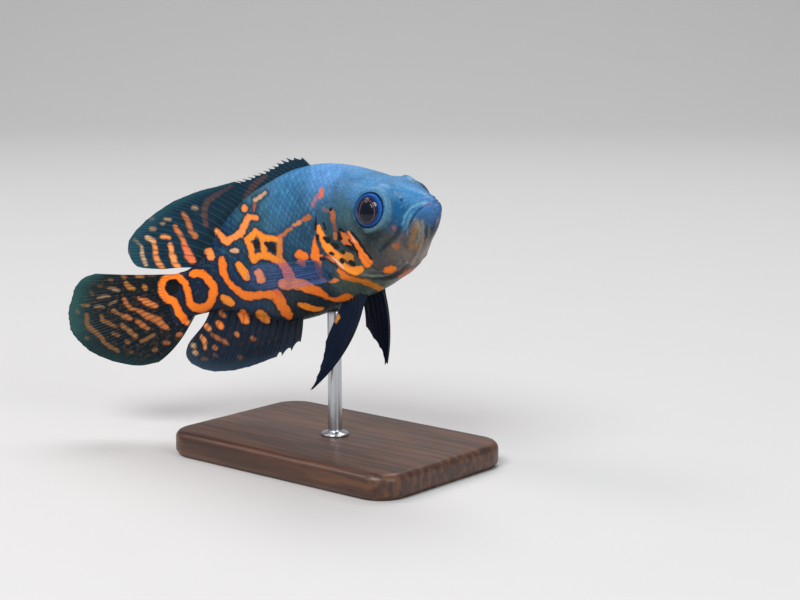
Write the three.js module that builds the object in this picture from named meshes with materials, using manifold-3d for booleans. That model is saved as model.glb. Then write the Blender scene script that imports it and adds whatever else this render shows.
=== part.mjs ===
// A life-size still model of a young oscar fish, swimming with its body bent, on a plain display stand.
// Millimetres, +Z up, head toward +X, the fish's right side toward -Y.
// The fish is first laid out straight: s runs from the snout to the tail, y to its left, z to its back.
import * as THREE from 'three';
import Module from 'manifold-3d';

const wasm = await Module();
wasm.setup();

// Driving sizes of the fish
const STANDARD_LENGTH = 150;
const GAP = 0.3;
const BODY_STATIONS = [
  // distance from the snout, back, belly, half width
  [1.4, 1.4, -1.6, 1.2],
  [2.6, 3.4, -2.9, 2.3],
  [6, 6.9, -5.7, 4.2],
  [10.5, 9.8, -9.0, 6.5],
  [17, 13.0, -13.4, 9.3],
  [26, 17.0, -17.6, 11.9],
  [36, 21.4, -20.4, 13.5],
  [48, 26.0, -22.8, 14.4],
  [62, 29.6, -24.2, 14.5],
  [76, 30.8, -25.4, 14.1],
  [90, 29.6, -26.4, 13.2],
  [104, 27.2, -25.6, 11.5],
  [118, 22.0, -21.0, 9.0],
  [129, 15.2, -16.4, 6.8],
  [138, 9.0, -13.2, 5.0],
  [145, 6.5, -12.4, 4.1],
  [150, 6.4, -12.2, 3.2],
];
const WIDEST_LEVEL = 0.47;
const SECTION_POWER = 2.15;
const SECTION_SIDES = 36;

// Pose: the turn of the backbone at stations along it, then the tilt of the whole fish, in degrees
const TURN_STATIONS = [[0, 15.7], [52.5, 9.5], [105, -1.0], [150, -23.1], [195, -39.8]];
const NOSE_UP = 18;
const BANK = 7.1;

// Stand
const ROD_STATION = 80;
const BELLY_HEIGHT = 60;
const ROD_RADIUS = 2.75;
const BASE = { length: 116, width: 76, height: 10, corner: 12, bevel: 1.2 };
const ROD_HOLE_DEPTH = 6;

// Head
const EYE = { s: 25.8, z: 7.0, radius: 6.4, depth: 3.9, sunk: -0.5, forward: 4, upward: 4 };
const SOCKET_MOUND = { radius: 10.6, depth: 7.2, sunk: 5.0, raised: 0.5 };
const SOCKET_RIM = { radius: 7.4, sunk: -0.7, halfWidth: 1.35, halfHeight: 1.2 };
const MOUTH_LINE = [
  [-4, 2.6], [1, 2.6], [3, 2.7], [4.6, 2.5], [6.2, 2], [7.8, 1], [9.4, -0.3], [11.6, -2.3], [13.6, -4.4],
];
const JAW_REAR = [[16, -7.2], [20.5, -10.5], [24, -14.5], [26, -20], [26.5, -28]];
const LIP_STEPS = 10;
const LIP_CORNER = 13.4;
const UPPER_LIP = {
  // share of the way to the corner, distance from the mouth's line, half width
  spread: [[0, 1.0, 0.85], [0.45, 1.6, 1.35], [0.75, 1.7, 1.4], [1, 1.0, 0.8]],
  away: 1,
  halfHeight: 0.9,
  sunk: 0.15,
};
const LOWER_LIP = {
  spread: [[0, 2.2, 2.0], [0.3, 1.9, 1.75], [0.6, 1.3, 1.15], [1, 0.9, 0.7]],
  away: -1,
  halfHeight: 0.95,
  sunk: 0.15,
};
const LIP_CORNER_SUNK = 0.8;
const NOSTRIL = { s: 13.4, z: 7.4, radius: 1.3, hole: 0.7, height: 0.45, depth: 1.5 };
const COVER_FRONT = [[35.6, -16.4], [36.2, -13.6], [37.2, -9], [38.6, -3], [40, 3], [41.6, 9], [44, 13.6]];
const COVER_REAR = [[50, 14], [54.6, 11.6], [57.8, 7.4], [59.2, 2.4], [58, -2.2], [54.6, -6.6], [50.8, -10.6],
  [46.4, -14.4], [40.6, -17.6]];
const COVER_THICKNESS = 1.6;
const COVER_LIFT = 0.9;
const HEAD_END = [[46, 40], [46.4, 20], [52, 8], [54, 2], [53, -4], [48, -12], [43, -20], [42, -40]];
const TAIL_BASE_START = 124;

const degrees = THREE.MathUtils.degToRad;

// A smooth line through points of [x, value]
function profile(points) {
  const slopes = points.map((point, i) => {
    const before = points[Math.max(i - 1, 0)];
    const after = points[Math.min(i + 1, points.length - 1)];
    return (after[1] - before[1]) / (after[0] - before[0]);
  });
  return (x) => {
    let i = 0;
    while (i < points.length - 2 && x > points[i + 1][0]) i += 1;
    const [x0, y0] = points[i];
    const [x1, y1] = points[i + 1];
    const span = x1 - x0;
    const t = THREE.MathUtils.clamp((x - x0) / span, 0, 1);
    const t2 = t * t;
    const t3 = t2 * t;
    return y0 * (2 * t3 - 3 * t2 + 1) + slopes[i] * span * (t3 - 2 * t2 + t)
      + y1 * (3 * t2 - 2 * t3) + slopes[i + 1] * span * (t3 - t2);
  };
}

const backLine = profile(BODY_STATIONS.map(([s, back]) => [s, back]));
const bellyLine = profile(BODY_STATIONS.map(([s, , belly]) => [s, belly]));
const halfWidth = profile(BODY_STATIONS.map(([s, , , width]) => [s, width]));
const turnAt = profile(TURN_STATIONS);

// The bent backbone, stepped every millimetre
const SPINE_STEPS = 230;
const spine = [new THREE.Vector2(0, 0)];
for (let s = 0; s < SPINE_STEPS; s += 1) {
  const turn = degrees(turnAt(s + 0.5));
  const last = spine[s];
  spine.push(new THREE.Vector2(last.x - Math.cos(turn), last.y + Math.sin(turn)));
}
const tilt = new THREE.Matrix4().makeRotationY(-degrees(NOSE_UP))
  .multiply(new THREE.Matrix4().makeRotationX(degrees(BANK)));

// A point of the straight fish, bent and tilted about the snout
function bent(s, y, z) {
  const step = THREE.MathUtils.clamp(Math.floor(s), 0, SPINE_STEPS - 1);
  const turn = degrees(turnAt(s));
  const along = spine[step].clone().lerp(spine[step + 1], s - step);
  const point = new THREE.Vector3(along.x + y * Math.sin(turn), along.y + y * Math.cos(turn), z);
  return point.applyMatrix4(tilt);
}

const rodTop = bent(ROD_STATION, 0, bellyLine(ROD_STATION));
const toStand = new THREE.Vector3(-rodTop.x, -rodTop.y, BELLY_HEIGHT - rodTop.z);

function place(s, y, z) {
  return bent(s, y, z).add(toStand);
}

// Closed surfaces
class Surface {
  constructor() {
    this.points = [];
    this.triangles = [];
  }

  point(vector) {
    this.points.push(vector);
    return this.points.length - 1;
  }

  triangle(a, b, c) {
    this.triangles.push([a, b, c]);
  }

  quad(a, b, c, d) {
    this.triangle(a, b, c);
    this.triangle(a, c, d);
  }

  solid() {
    const volume = this.triangles.reduce((sum, [a, b, c]) => (
      sum + this.points[a].dot(this.points[b].clone().cross(this.points[c]))), 0);
    const faces = volume < 0 ? this.triangles.map(([a, b, c]) => [a, c, b]) : this.triangles;
    return new wasm.Manifold(new wasm.Mesh({
      numProp: 3,
      vertProperties: new Float32Array(this.points.flatMap((point) => point.toArray())),
      triVerts: new Uint32Array(faces.flat()),
    }));
  }
}

// A skin over closed rings of points, with both ends closed round their middles
function loft(rings) {
  const surface = new Surface();
  const rows = rings.map((ring) => ring.map((vector) => surface.point(vector)));
  const sides = rings[0].length;
  for (let i = 0; i + 1 < rows.length; i += 1) {
    for (let j = 0; j < sides; j += 1) {
      const next = (j + 1) % sides;
      surface.quad(rows[i][j], rows[i][next], rows[i + 1][next], rows[i + 1][j]);
    }
  }
  [rows.length - 1, 0].forEach((end) => {
    const middle = new THREE.Vector3();
    rings[end].forEach((vector) => middle.addScaledVector(vector, 1 / sides));
    const centre = surface.point(middle);
    for (let j = 0; j < sides; j += 1) {
      const next = (j + 1) % sides;
      if (end === 0) surface.triangle(rows[0][next], rows[0][j], centre);
      else surface.triangle(rows[end][j], rows[end][next], centre);
    }
  });
  return surface.solid();
}

function solidOf(geometry) {
  const positions = geometry.getAttribute('position');
  const surface = new Surface();
  const seen = new Map();
  const index = [];
  for (let i = 0; i < positions.count; i += 1) {
    const vector = new THREE.Vector3().fromBufferAttribute(positions, i);
    const key = vector.toArray().map((value) => Math.round(value * 1e4)).join();
    if (!seen.has(key)) seen.set(key, surface.point(vector));
    index.push(seen.get(key));
  }
  const order = geometry.index ? Array.from(geometry.index.array) : index.map((_, i) => i);
  for (let i = 0; i < order.length; i += 3) {
    const [a, b, c] = order.slice(i, i + 3).map((k) => index[k]);
    if (a !== b && b !== c && c !== a) surface.triangle(a, b, c);
  }
  return surface.solid();
}

// Body
function sectionLevels(s) {
  const back = backLine(s);
  const belly = bellyLine(s);
  const middle = belly + WIDEST_LEVEL * (back - belly);
  return { back, belly, middle, width: halfWidth(s) };
}

// Half width of the body at one height
function flankAt(s, z) {
  const { back, belly, middle, width } = sectionLevels(s);
  const reach = z > middle ? (z - middle) / (back - middle) : (middle - z) / (middle - belly);
  return width * (1 - Math.min(reach, 1) ** SECTION_POWER) ** (1 / SECTION_POWER);
}

// The flank's place and directions at one point of its side view
function onFlank(side, s, z) {
  const at = (station, height) => place(station, side * flankAt(station, height), height);
  const step = 0.2;
  const tailward = at(s + step, z).sub(at(s - step, z)).normalize();
  const upward = at(s, z + step).sub(at(s, z - step)).normalize();
  const outward = tailward.clone().cross(upward).multiplyScalar(side).normalize();
  return { point: at(s, z), tailward, upward, outward };
}

function bodyRing(s, grow) {
  const { back, belly, middle, width } = sectionLevels(s);
  const ring = [];
  for (let k = 0; k < SECTION_SIDES; k += 1) {
    const angle = (2 * Math.PI * k) / SECTION_SIDES;
    const across = Math.sign(Math.cos(angle)) * Math.abs(Math.cos(angle)) ** (2 / SECTION_POWER);
    const upward = Math.sign(Math.sin(angle)) * Math.abs(Math.sin(angle)) ** (2 / SECTION_POWER);
    const height = upward > 0 ? back - middle : middle - belly;
    const y = across * width;
    const z = middle + upward * height;
    const outward = new THREE.Vector2(across / width, upward / height).normalize();
    ring.push(place(s, y + outward.x * grow, z + outward.y * grow));
  }
  return ring;
}

// Stations of the body's rings: close at the snout, wider toward the tail
const SNOUT = BODY_STATIONS[0][0];
const ringStations = [];
for (let s = SNOUT; s < STANDARD_LENGTH - 2; s += 1.1 + 3.1 * THREE.MathUtils.smoothstep(s, 0, 64)) {
  ringStations.push(s);
}
const BODY_END = STANDARD_LENGTH - 1.5;
ringStations.push(BODY_END);

function bodySolid(growAt) {
  return loft(ringStations.map((s) => bodyRing(s, growAt(s))));
}

// A prism across the fish, from an outline in its side view, between two distances from its midline
function acrossFish(outline, fromY, toY) {
  const surface = new Surface();
  const contour = outline.map(([s, z]) => new THREE.Vector2(s, z));
  const near = outline.map(([s, z]) => surface.point(place(s, fromY, z)));
  const far = outline.map(([s, z]) => surface.point(place(s, toY, z)));
  THREE.ShapeUtils.triangulateShape(contour, []).forEach(([a, b, c]) => {
    surface.triangle(near[a], near[b], near[c]);
    surface.triangle(far[a], far[c], far[b]);
  });
  const turnsLeft = THREE.ShapeUtils.isClockWise(contour) ? 1 : -1;
  outline.forEach((_, i) => {
    const next = (i + 1) % outline.length;
    if (turnsLeft < 0) surface.quad(near[i], far[i], far[next], near[next]);
    else surface.quad(near[i], near[next], far[next], far[i]);
  });
  return surface.solid();
}

// The outline with every edge moved outward
function widened(outline, distance) {
  const contour = outline.map(([s, z]) => new THREE.Vector2(s, z));
  const side = THREE.ShapeUtils.isClockWise(contour) ? -1 : 1;
  return contour.map((point, i) => {
    const before = contour[(i + contour.length - 1) % contour.length];
    const after = contour[(i + 1) % contour.length];
    const first = point.clone().sub(before).normalize();
    const second = after.clone().sub(point).normalize();
    const normal = new THREE.Vector2(first.y + second.y, -first.x - second.x).normalize();
    const stretch = 1 / Math.max(0.5, normal.dot(new THREE.Vector2(first.y, -first.x)));
    return point.addScaledVector(normal, side * distance * stretch).toArray();
  });
}

// A smooth run through the points of an outline, so that cuts bend with the body
function rounded(points, steps) {
  const curve = new THREE.CatmullRomCurve3(points.map(([s, z]) => new THREE.Vector3(s, 0, z)), false, 'centripetal');
  return curve.getPoints(steps).map((point) => [point.x, point.z]);
}

function largest(solid) {
  const pieces = solid.decompose();
  return pieces.reduce((best, piece) => (piece.volume() > best.volume() ? piece : best));
}

// Fins. A ray fin is a sheet with a ridge along each ray; every column of the grid is a ray or a membrane
function raySheet({ rays, rows, point, rayHalf, webHalf, webReach = () => 1 }) {
  const columns = 2 * rays - 1;
  const grid = [];
  for (let i = 0; i < columns; i += 1) {
    const u = i / (columns - 1);
    const isRay = i % 2 === 0;
    const reach = isRay ? 1 : webReach(u);
    const column = [];
    for (let k = 0; k <= rows; k += 1) {
      const v = (k / rows) * reach;
      const half = isRay ? rayHalf(u, v) : webHalf(u, v);
      column.push({ middle: point(u, v), half });
    }
    grid.push(column);
  }
  const surface = new Surface();
  const faces = [1, -1].map((side) => grid.map((column, i) => column.map(({ middle, half }, k) => {
    const left = grid[Math.max(i - 1, 0)][k].middle;
    const right = grid[Math.min(i + 1, columns - 1)][k].middle;
    const inner = column[Math.max(k - 1, 0)].middle;
    const outer = column[Math.min(k + 1, rows)].middle;
    const normal = right.clone().sub(left).cross(outer.clone().sub(inner)).normalize();
    return surface.point(middle.clone().addScaledVector(normal, side * half));
  })));
  const [front, back] = faces;
  for (let i = 0; i + 1 < columns; i += 1) {
    for (let k = 0; k < rows; k += 1) {
      surface.quad(front[i][k], front[i + 1][k], front[i + 1][k + 1], front[i][k + 1]);
      surface.triangle(back[i][k], back[i + 1][k + 1], back[i + 1][k]);
      surface.triangle(back[i][k], back[i][k + 1], back[i + 1][k + 1]);
    }
    surface.quad(front[i][0], back[i][0], back[i + 1][0], front[i + 1][0]);
    surface.quad(front[i][rows], front[i + 1][rows], back[i + 1][rows], back[i][rows]);
  }
  const last = columns - 1;
  for (let k = 0; k < rows; k += 1) {
    surface.quad(front[0][k], front[0][k + 1], back[0][k + 1], back[0][k]);
    surface.quad(front[last][k], back[last][k], back[last][k + 1], front[last][k + 1]);
  }
  return surface.solid();
}

// A point along a ray that leaves its root toward a control point and ends at its tip
function alongRay(root, control, tip, v) {
  const a = (1 - v) * (1 - v);
  const b = 2 * v * (1 - v);
  const c = v * v;
  return root.map((value, i) => a * value + b * control[i] + c * tip[i]);
}

const taper = (root, tip) => (u, v) => root + (tip - root) * v;

// Fins of the midline: where each ray's tip lies, by where its root lies
const DORSAL_ROOTS = [66, 141];
const DORSAL_TIPS = [
  // root, tip s, tip z
  [66, 70, 34.2],
  [72, 80, 36.0],
  [80, 89.5, 34.8],
  [92, 103, 34.2],
  [104, 117, 34.6],
  [114, 130, 35.4],
  [120, 141, 34.9],
  [125, 150, 33.2],
  [129, 158.5, 30.2],
  [133, 166, 25.8],
  [136, 168.2, 20.4],
  [138.5, 166.4, 14.2],
  [141, 156, 9.8],
];
const ANAL_ROOTS = [98.5, 141];
const ANAL_TIPS = [
  [98.5, 104.2, -34.6],
  [102.5, 112.4, -37.6],
  [108, 122, -38.2],
  [116, 132, -38.8],
  [124, 141.5, -38.2],
  [130, 150.5, -36.0],
  [134, 156.6, -32.0],
  [137, 158.8, -27.4],
  [139.2, 156.2, -22.6],
  [141, 150.4, -18.9],
];

function midlineFin({ roots, tips, rays, rows, edgeLine, away, lean, wave, ...sheet }) {
  const tipS = profile(tips.map(([root, s]) => [root, s]));
  const tipZ = profile(tips.map(([root, , z]) => [root, z]));
  const point = (u, v) => {
    const rootS = THREE.MathUtils.lerp(roots[0], roots[1], u);
    const root = [rootS, 0, edgeLine(rootS) + away * GAP];
    const tip = [tipS(rootS), 0, tipZ(rootS)];
    const control = [
      THREE.MathUtils.lerp(root[0], tip[0], lean),
      0,
      THREE.MathUtils.lerp(root[2], tip[2], 0.5 + 0.12 * u),
    ];
    const [s, , z] = alongRay(root, control, tip, v);
    return place(s, wave * v * Math.sin(9 * u), z);
  };
  return raySheet({ rays, rows, point, ...sheet });
}

const DORSAL_RAYS = 30;
const DORSAL_SPINES = 13;
const dorsalFin = midlineFin({
  roots: DORSAL_ROOTS,
  tips: DORSAL_TIPS,
  rays: DORSAL_RAYS,
  rows: 5,
  edgeLine: backLine,
  away: 1,
  lean: 0.42,
  wave: 0.7,
  rayHalf: taper(0.75, 0.34),
  webHalf: taper(0.45, 0.27),
  webReach: (u) => (u * DORSAL_RAYS < DORSAL_SPINES ? 0.8 : 0.97),
});

const ANAL_RAYS = 15;
const analFin = midlineFin({
  roots: ANAL_ROOTS,
  tips: ANAL_TIPS,
  rays: ANAL_RAYS,
  rows: 5,
  edgeLine: bellyLine,
  away: -1,
  lean: 0.4,
  wave: 0.5,
  rayHalf: taper(0.75, 0.34),
  webHalf: taper(0.45, 0.27),
  webReach: (u) => (u * ANAL_RAYS < 3 ? 0.8 : 0.97),
});

// Tail fin: rays spread from the end of the tail base
const TAIL_ROOT = { s: BODY_END + GAP, top: 5.6, bottom: -11.4 };
const TAIL_TIPS = [
  // share across the root, tip s, tip z
  [0, 184, 16.9],
  [0.04, 188.8, 16.9],
  [0.1, 193.4, 14.8],
  [0.2, 196, 12.2],
  [0.35, 200.4, 5.0],
  [0.5, 201.4, -0.5],
  [0.65, 200, -7.0],
  [0.8, 195, -14.4],
  [0.9, 187.4, -20.8],
  [0.96, 179, -25.0],
  [1, 171, -26.0],
];
const tailTipS = profile(TAIL_TIPS.map(([u, s]) => [u, s]));
const tailTipZ = profile(TAIL_TIPS.map(([u, , z]) => [u, z]));
const caudalFin = raySheet({
  rays: 18,
  rows: 6,
  point: (u, v) => {
    const root = [TAIL_ROOT.s, 0, THREE.MathUtils.lerp(TAIL_ROOT.top, TAIL_ROOT.bottom, u)];
    const tip = [tailTipS(u), 0, tailTipZ(u)];
    const spread = THREE.MathUtils.lerp(0.4, 0.78, u);
    const control = [
      THREE.MathUtils.lerp(root[0], tip[0], 0.5),
      0,
      THREE.MathUtils.lerp(root[2], tip[2], spread),
    ];
    const [s, , z] = alongRay(root, control, tip, v);
    return place(s, 0.9 * v * Math.sin(7 * u), z);
  },
  rayHalf: taper(1.3, 0.32),
  webHalf: taper(1.0, 0.26),
  webReach: () => 0.975,
});

// Paired fins: rays fan from a short root sunk in the body
function pairedFin({ side, rays, rows, rootFront, rootBack, leave, settle, tips, bow, ...sheet }) {
  const tipLines = [1, 2, 3].map((k) => profile(tips.map((tip) => [tip[0], tip[k]])));
  const point = (u, v) => {
    const root = rootFront.map((value, i) => THREE.MathUtils.lerp(value, rootBack[i], u));
    const tip = tipLines.map((line) => line(u));
    const control = root.map((value, i) => (
      THREE.MathUtils.lerp(value, tip[i], bow) + THREE.MathUtils.lerp(leave[i], settle[i], u)));
    const [s, y, z] = alongRay(root, control, tip, v);
    return place(s, side * y, z);
  };
  return raySheet({ rays, rows, point, ...sheet });
}

const RIGHT = -1;
const LEFT = 1;
const pectoral = {
  rays: 11,
  rows: 5,
  rootFront: [61.6, 12.6, -5.6],
  rootBack: [60.8, 12.2, -13.4],
  leave: [-7, 4.5, 0],
  settle: [-7, 4.5, 0],
  bow: 0.5,
  rayHalf: taper(0.8, 0.32),
  webHalf: taper(0.55, 0.25),
  webReach: () => 0.97,
};
const pelvic = {
  rays: 6,
  rows: 7,
  rootFront: [54, 4.6, -21.4],
  rootBack: [66, 3.4, -21.6],
  leave: [-10, 2, -6],
  settle: [-1, 1, 1],
  bow: 0.42,
  rayHalf: taper(0.95, 0.36),
  webHalf: taper(0.6, 0.28),
  webReach: (u) => (u < 0.25 ? 0.94 : 0.9),
};
const pairedFins = {
  pectoral_fin_right: pairedFin({
    ...pectoral,
    side: RIGHT,
    tips: [
      // share across the root, tip s, tip y, tip z
      [0, 96, 17.6, 1.0],
      [0.2, 102, 17.4, -0.6],
      [0.45, 104.8, 17.0, -4.4],
      [0.65, 102.4, 16.6, -8.4],
      [0.85, 94, 16.4, -10.6],
      [1, 82, 16.2, -12.6],
    ],
  }),
  pectoral_fin_left: pairedFin({
    ...pectoral,
    side: LEFT,
    tips: [
      [0, 94, 21.6, 2.4],
      [0.2, 100, 21.4, 0.4],
      [0.45, 103, 20.6, -4.0],
      [0.65, 100.6, 19.8, -8.6],
      [0.85, 92, 19.0, -12.4],
      [1, 80, 18.4, -15.4],
    ],
  }),
  pelvic_fin_right: pairedFin({
    ...pelvic,
    side: RIGHT,
    tips: [
      [0, 92, 14, -52.4],
      [0.2, 93.4, 13.6, -52.6],
      [0.4, 88.6, 12.8, -48.6],
      [0.6, 85.4, 12.0, -45.0],
      [0.8, 82, 11.2, -41.0],
      [1, 79, 10.4, -36.0],
    ],
  }),
  pelvic_fin_left: pairedFin({
    ...pelvic,
    side: LEFT,
    leave: [-3, 1, -2],
    tips: [
      [0, 75.6, 13.4, -53],
      [0.2, 77.2, 13.6, -53.2],
      [0.4, 75.8, 13.0, -50],
      [0.6, 75.4, 12.2, -46],
      [0.8, 76, 11.2, -41.6],
      [1, 76.6, 10, -36],
    ],
  }),
};

// A tube with an oval section round a run of stations, each with its place and two directions
function ovalTube(stations, oval, closed) {
  const sides = 8;
  const rings = stations.map(({ point, across, outward, halfWidth = oval.halfWidth }) => (
    Array.from({ length: sides }, (_, k) => {
      const angle = (2 * Math.PI * k) / sides;
      return point.clone()
        .addScaledVector(across, halfWidth * Math.cos(angle))
        .addScaledVector(outward, oval.halfHeight * Math.sin(angle));
    })));
  if (!closed) return loft(rings);
  const surface = new Surface();
  const rows = rings.map((ring) => ring.map((vector) => surface.point(vector)));
  rows.forEach((row, i) => {
    const nextRow = rows[(i + 1) % rows.length];
    row.forEach((vertex, j) => {
      const next = (j + 1) % sides;
      surface.quad(vertex, row[next], nextRow[next], nextRow[j]);
    });
  });
  return surface.solid();
}

// Eyes, each in a low mound of the head with a raised rim. All share the eye's axis
function eyeAxis(side) {
  const { point, tailward, upward, outward } = onFlank(side, EYE.s, EYE.z);
  const facing = outward
    .addScaledVector(tailward, -Math.tan(degrees(EYE.forward)))
    .addScaledVector(upward, Math.tan(degrees(EYE.upward)))
    .normalize();
  return { point, upward, facing };
}

function onEyeAxis(side, radius, depth, sunk, raised = 0) {
  const { point, upward, facing } = eyeAxis(side);
  const ball = new THREE.SphereGeometry(1, 24, 12);
  ball.rotateX(Math.PI / 2);
  ball.scale(radius, radius, depth);
  ball.applyQuaternion(new THREE.Quaternion().setFromUnitVectors(new THREE.Vector3(0, 0, 1), facing));
  const centre = point.addScaledVector(facing, -sunk).addScaledVector(upward, raised);
  ball.translate(centre.x, centre.y, centre.z);
  return solidOf(ball);
}

function eyeSolid(side, grow) {
  return onEyeAxis(side, EYE.radius + grow, EYE.depth + grow, EYE.sunk);
}

function socketMound(side) {
  const { radius, depth, sunk, raised } = SOCKET_MOUND;
  return onEyeAxis(side, radius, depth, sunk, raised);
}

function socketRim(side) {
  const { point, facing } = eyeAxis(side);
  const steps = 24;
  const start = new THREE.Vector3(0, 0, 1).cross(facing).normalize();
  const stations = Array.from({ length: steps }, (_, k) => {
    const across = start.clone().applyAxisAngle(facing, (2 * Math.PI * k) / steps);
    const middle = point.clone()
      .addScaledVector(facing, -SOCKET_RIM.sunk)
      .addScaledVector(across, SOCKET_RIM.radius);
    return { point: middle, across, outward: facing };
  });
  return ovalTube(stations, SOCKET_RIM, true);
}

// Lips: one tube above the mouth's line and one below, from corner to corner round the snout
const mouthLine = profile(MOUTH_LINE);

function lip({ spread, away, halfHeight, sunk }) {
  const apart = profile(spread.map(([share, distance]) => [share, distance]));
  const wide = profile(spread.map(([share, , width]) => [share, width]));
  let start = SNOUT + 0.2;
  while (backLine(start) < mouthLine(start) + away * apart(0) + 0.05) start += 0.05;
  const halves = [RIGHT, LEFT].map((side) => Array.from({ length: LIP_STEPS }, (_, k) => {
    const share = (k / (LIP_STEPS - 1)) ** 1.7;
    const s = THREE.MathUtils.lerp(start, LIP_CORNER, share);
    const z = mouthLine(s) + away * apart(share);
    return { share, s, z, point: place(s, side * flankAt(s, z), z) };
  }));
  const path = [...halves[0].reverse(), ...halves[1].slice(1)];
  const stations = path.map(({ share, s, z, point }, i) => {
    const along = path[Math.min(i + 1, path.length - 1)].point.clone()
      .sub(path[Math.max(i - 1, 0)].point).normalize();
    const inside = place(s + 3, 0, (z + sectionLevels(s + 3).middle) / 2);
    const outward = point.clone().sub(inside);
    outward.addScaledVector(along, -outward.dot(along)).normalize();
    const across = outward.clone().cross(along).normalize();
    return {
      point: point.clone().addScaledVector(outward, -sunk - LIP_CORNER_SUNK * share ** 4),
      across,
      outward,
      halfWidth: wide(share),
    };
  });
  return ovalTube(stations, { halfHeight }, false);
}

// A nostril: a low collar round a hole
function nostrilPart(side, radius, rise) {
  const rimPoints = 12;
  const { point, tailward, upward, outward } = onFlank(side, NOSTRIL.s, NOSTRIL.z);
  const ringAt = (height, size) => Array.from({ length: rimPoints }, (_, k) => {
    const angle = (2 * Math.PI * k) / rimPoints;
    return point.clone()
      .addScaledVector(tailward, size * Math.cos(angle))
      .addScaledVector(upward, size * Math.sin(angle))
      .addScaledVector(outward, height);
  });
  return loft([ringAt(-NOSTRIL.depth, radius * 1.3), ringAt(rise, radius)]);
}

// Cutting the body into its parts
const sides = { right: RIGHT, left: LEFT };
const SIDE_REACH = 40;
const coverOutline = [...rounded(COVER_FRONT, 14), ...rounded(COVER_REAR, 22)];
const jawOutline = [...rounded([...MOUTH_LINE, ...JAW_REAR], 24), [-4, -26]];
const headOutline = [...rounded(HEAD_END, 22), [-8, -40], [-8, 40]];

const body = bodySolid(() => 0);
const clearOfBody = bodySolid(() => GAP);
const coverLift = (s) => COVER_LIFT * THREE.MathUtils.smoothstep(s, 36, 58);
const coverOuter = bodySolid(coverLift);
const coverInner = bodySolid(() => -COVER_THICKNESS);
const pocketFloor = bodySolid(() => -COVER_THICKNESS - GAP);

function coverPrism(side, outline) {
  return acrossFish(outline, side, side * SIDE_REACH);
}

const covers = {};
let carved = body;
Object.entries(sides).forEach(([name, side]) => {
  covers[name] = coverOuter.intersect(coverPrism(side, coverOutline)).subtract(coverInner);
  const pocket = coverPrism(side, widened(coverOutline, GAP)).subtract(pocketFloor);
  carved = carved.subtract(pocket);
  carved = carved.add(socketMound(side)).add(socketRim(side)).subtract(eyeSolid(side, GAP));
  carved = carved.add(nostrilPart(side, NOSTRIL.radius, NOSTRIL.height));
  carved = carved.subtract(nostrilPart(side, NOSTRIL.hole, NOSTRIL.height + 1));
});
carved = carved.add(lip(UPPER_LIP)).add(lip(LOWER_LIP));

const jawPrism = acrossFish(jawOutline, -SIDE_REACH, SIDE_REACH);
const jawClearance = acrossFish(widened(jawOutline, GAP), -SIDE_REACH, SIDE_REACH);
const headPrism = acrossFish(headOutline, -SIDE_REACH, SIDE_REACH);
const headClearance = acrossFish(widened(headOutline, GAP), -SIDE_REACH, SIDE_REACH);
const frontBlock = (end) => acrossFish(
  Array.from({ length: 45 }, (_, k) => [-8 + ((end + 8) * k) / 44, -60])
    .concat(Array.from({ length: 45 }, (_, k) => [end - ((end + 8) * k) / 44, 60])),
  -SIDE_REACH,
  SIDE_REACH,
);

const lowerJaw = carved.intersect(jawPrism);
const head = carved.intersect(headPrism).subtract(jawClearance);
const behindHead = carved.subtract(headClearance);
const trunk = behindHead.intersect(frontBlock(TAIL_BASE_START));
const tailBase = behindHead.subtract(frontBlock(TAIL_BASE_START + GAP));

// Stand
function roundedPlate({ length, width, height, corner, bevel }) {
  const x = length / 2 - bevel;
  const y = width / 2 - bevel;
  const shape = new THREE.Shape();
  shape.moveTo(-x + corner, -y);
  shape.lineTo(x - corner, -y);
  shape.absarc(x - corner, -y + corner, corner, -Math.PI / 2, 0);
  shape.lineTo(x, y - corner);
  shape.absarc(x - corner, y - corner, corner, 0, Math.PI / 2);
  shape.lineTo(-x + corner, y);
  shape.absarc(-x + corner, y - corner, corner, Math.PI / 2, Math.PI);
  shape.lineTo(-x, -y + corner);
  shape.absarc(-x + corner, -y + corner, corner, Math.PI, 1.5 * Math.PI);
  const plate = new THREE.ExtrudeGeometry(shape, {
    depth: height - 2 * bevel,
    bevelThickness: bevel,
    bevelSize: bevel,
    bevelSegments: 1,
    curveSegments: 5,
  });
  return plate.translate(0, 0, bevel);
}

function rodShape(radius, from, to) {
  const rod = new THREE.CylinderGeometry(radius, radius, to - from, 24);
  return solidOf(rod.rotateX(Math.PI / 2).translate(0, 0, (from + to) / 2));
}

const rodFoot = BASE.height - ROD_HOLE_DEPTH;
const standBase = solidOf(roundedPlate(BASE)).subtract(rodShape(ROD_RADIUS + GAP, rodFoot, BASE.height + 5));
const standRod = rodShape(ROD_RADIUS, rodFoot + GAP, BELLY_HEIGHT + 8).subtract(clearOfBody);

// The model
const materials = {
  skin: { color: 0x24434f, roughness: 0.35, metalness: 0 },
  head: { color: 0x4a6a72, roughness: 0.35, metalness: 0 },
  fin: { color: 0x1b2c38, roughness: 0.45, metalness: 0 },
  eye: { color: 0x11141c, roughness: 0.1, metalness: 0 },
  wood: { color: 0x4b3122, roughness: 0.5, metalness: 0 },
  steel: { color: 0xb8bcc0, roughness: 0.25, metalness: 1 },
};

const fish = new THREE.Group();

function addNode(name, solid, finish) {
  const mesh = largest(solid).getMesh();
  const geometry = new THREE.BufferGeometry();
  geometry.setAttribute('position', new THREE.BufferAttribute(new Float32Array(mesh.vertProperties), 3));
  geometry.setIndex(new THREE.BufferAttribute(new Uint32Array(mesh.triVerts), 1));
  geometry.computeVertexNormals();
  const node = new THREE.Mesh(geometry, new THREE.MeshStandardMaterial(materials[finish]));
  node.name = name;
  fish.add(node);
}

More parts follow.
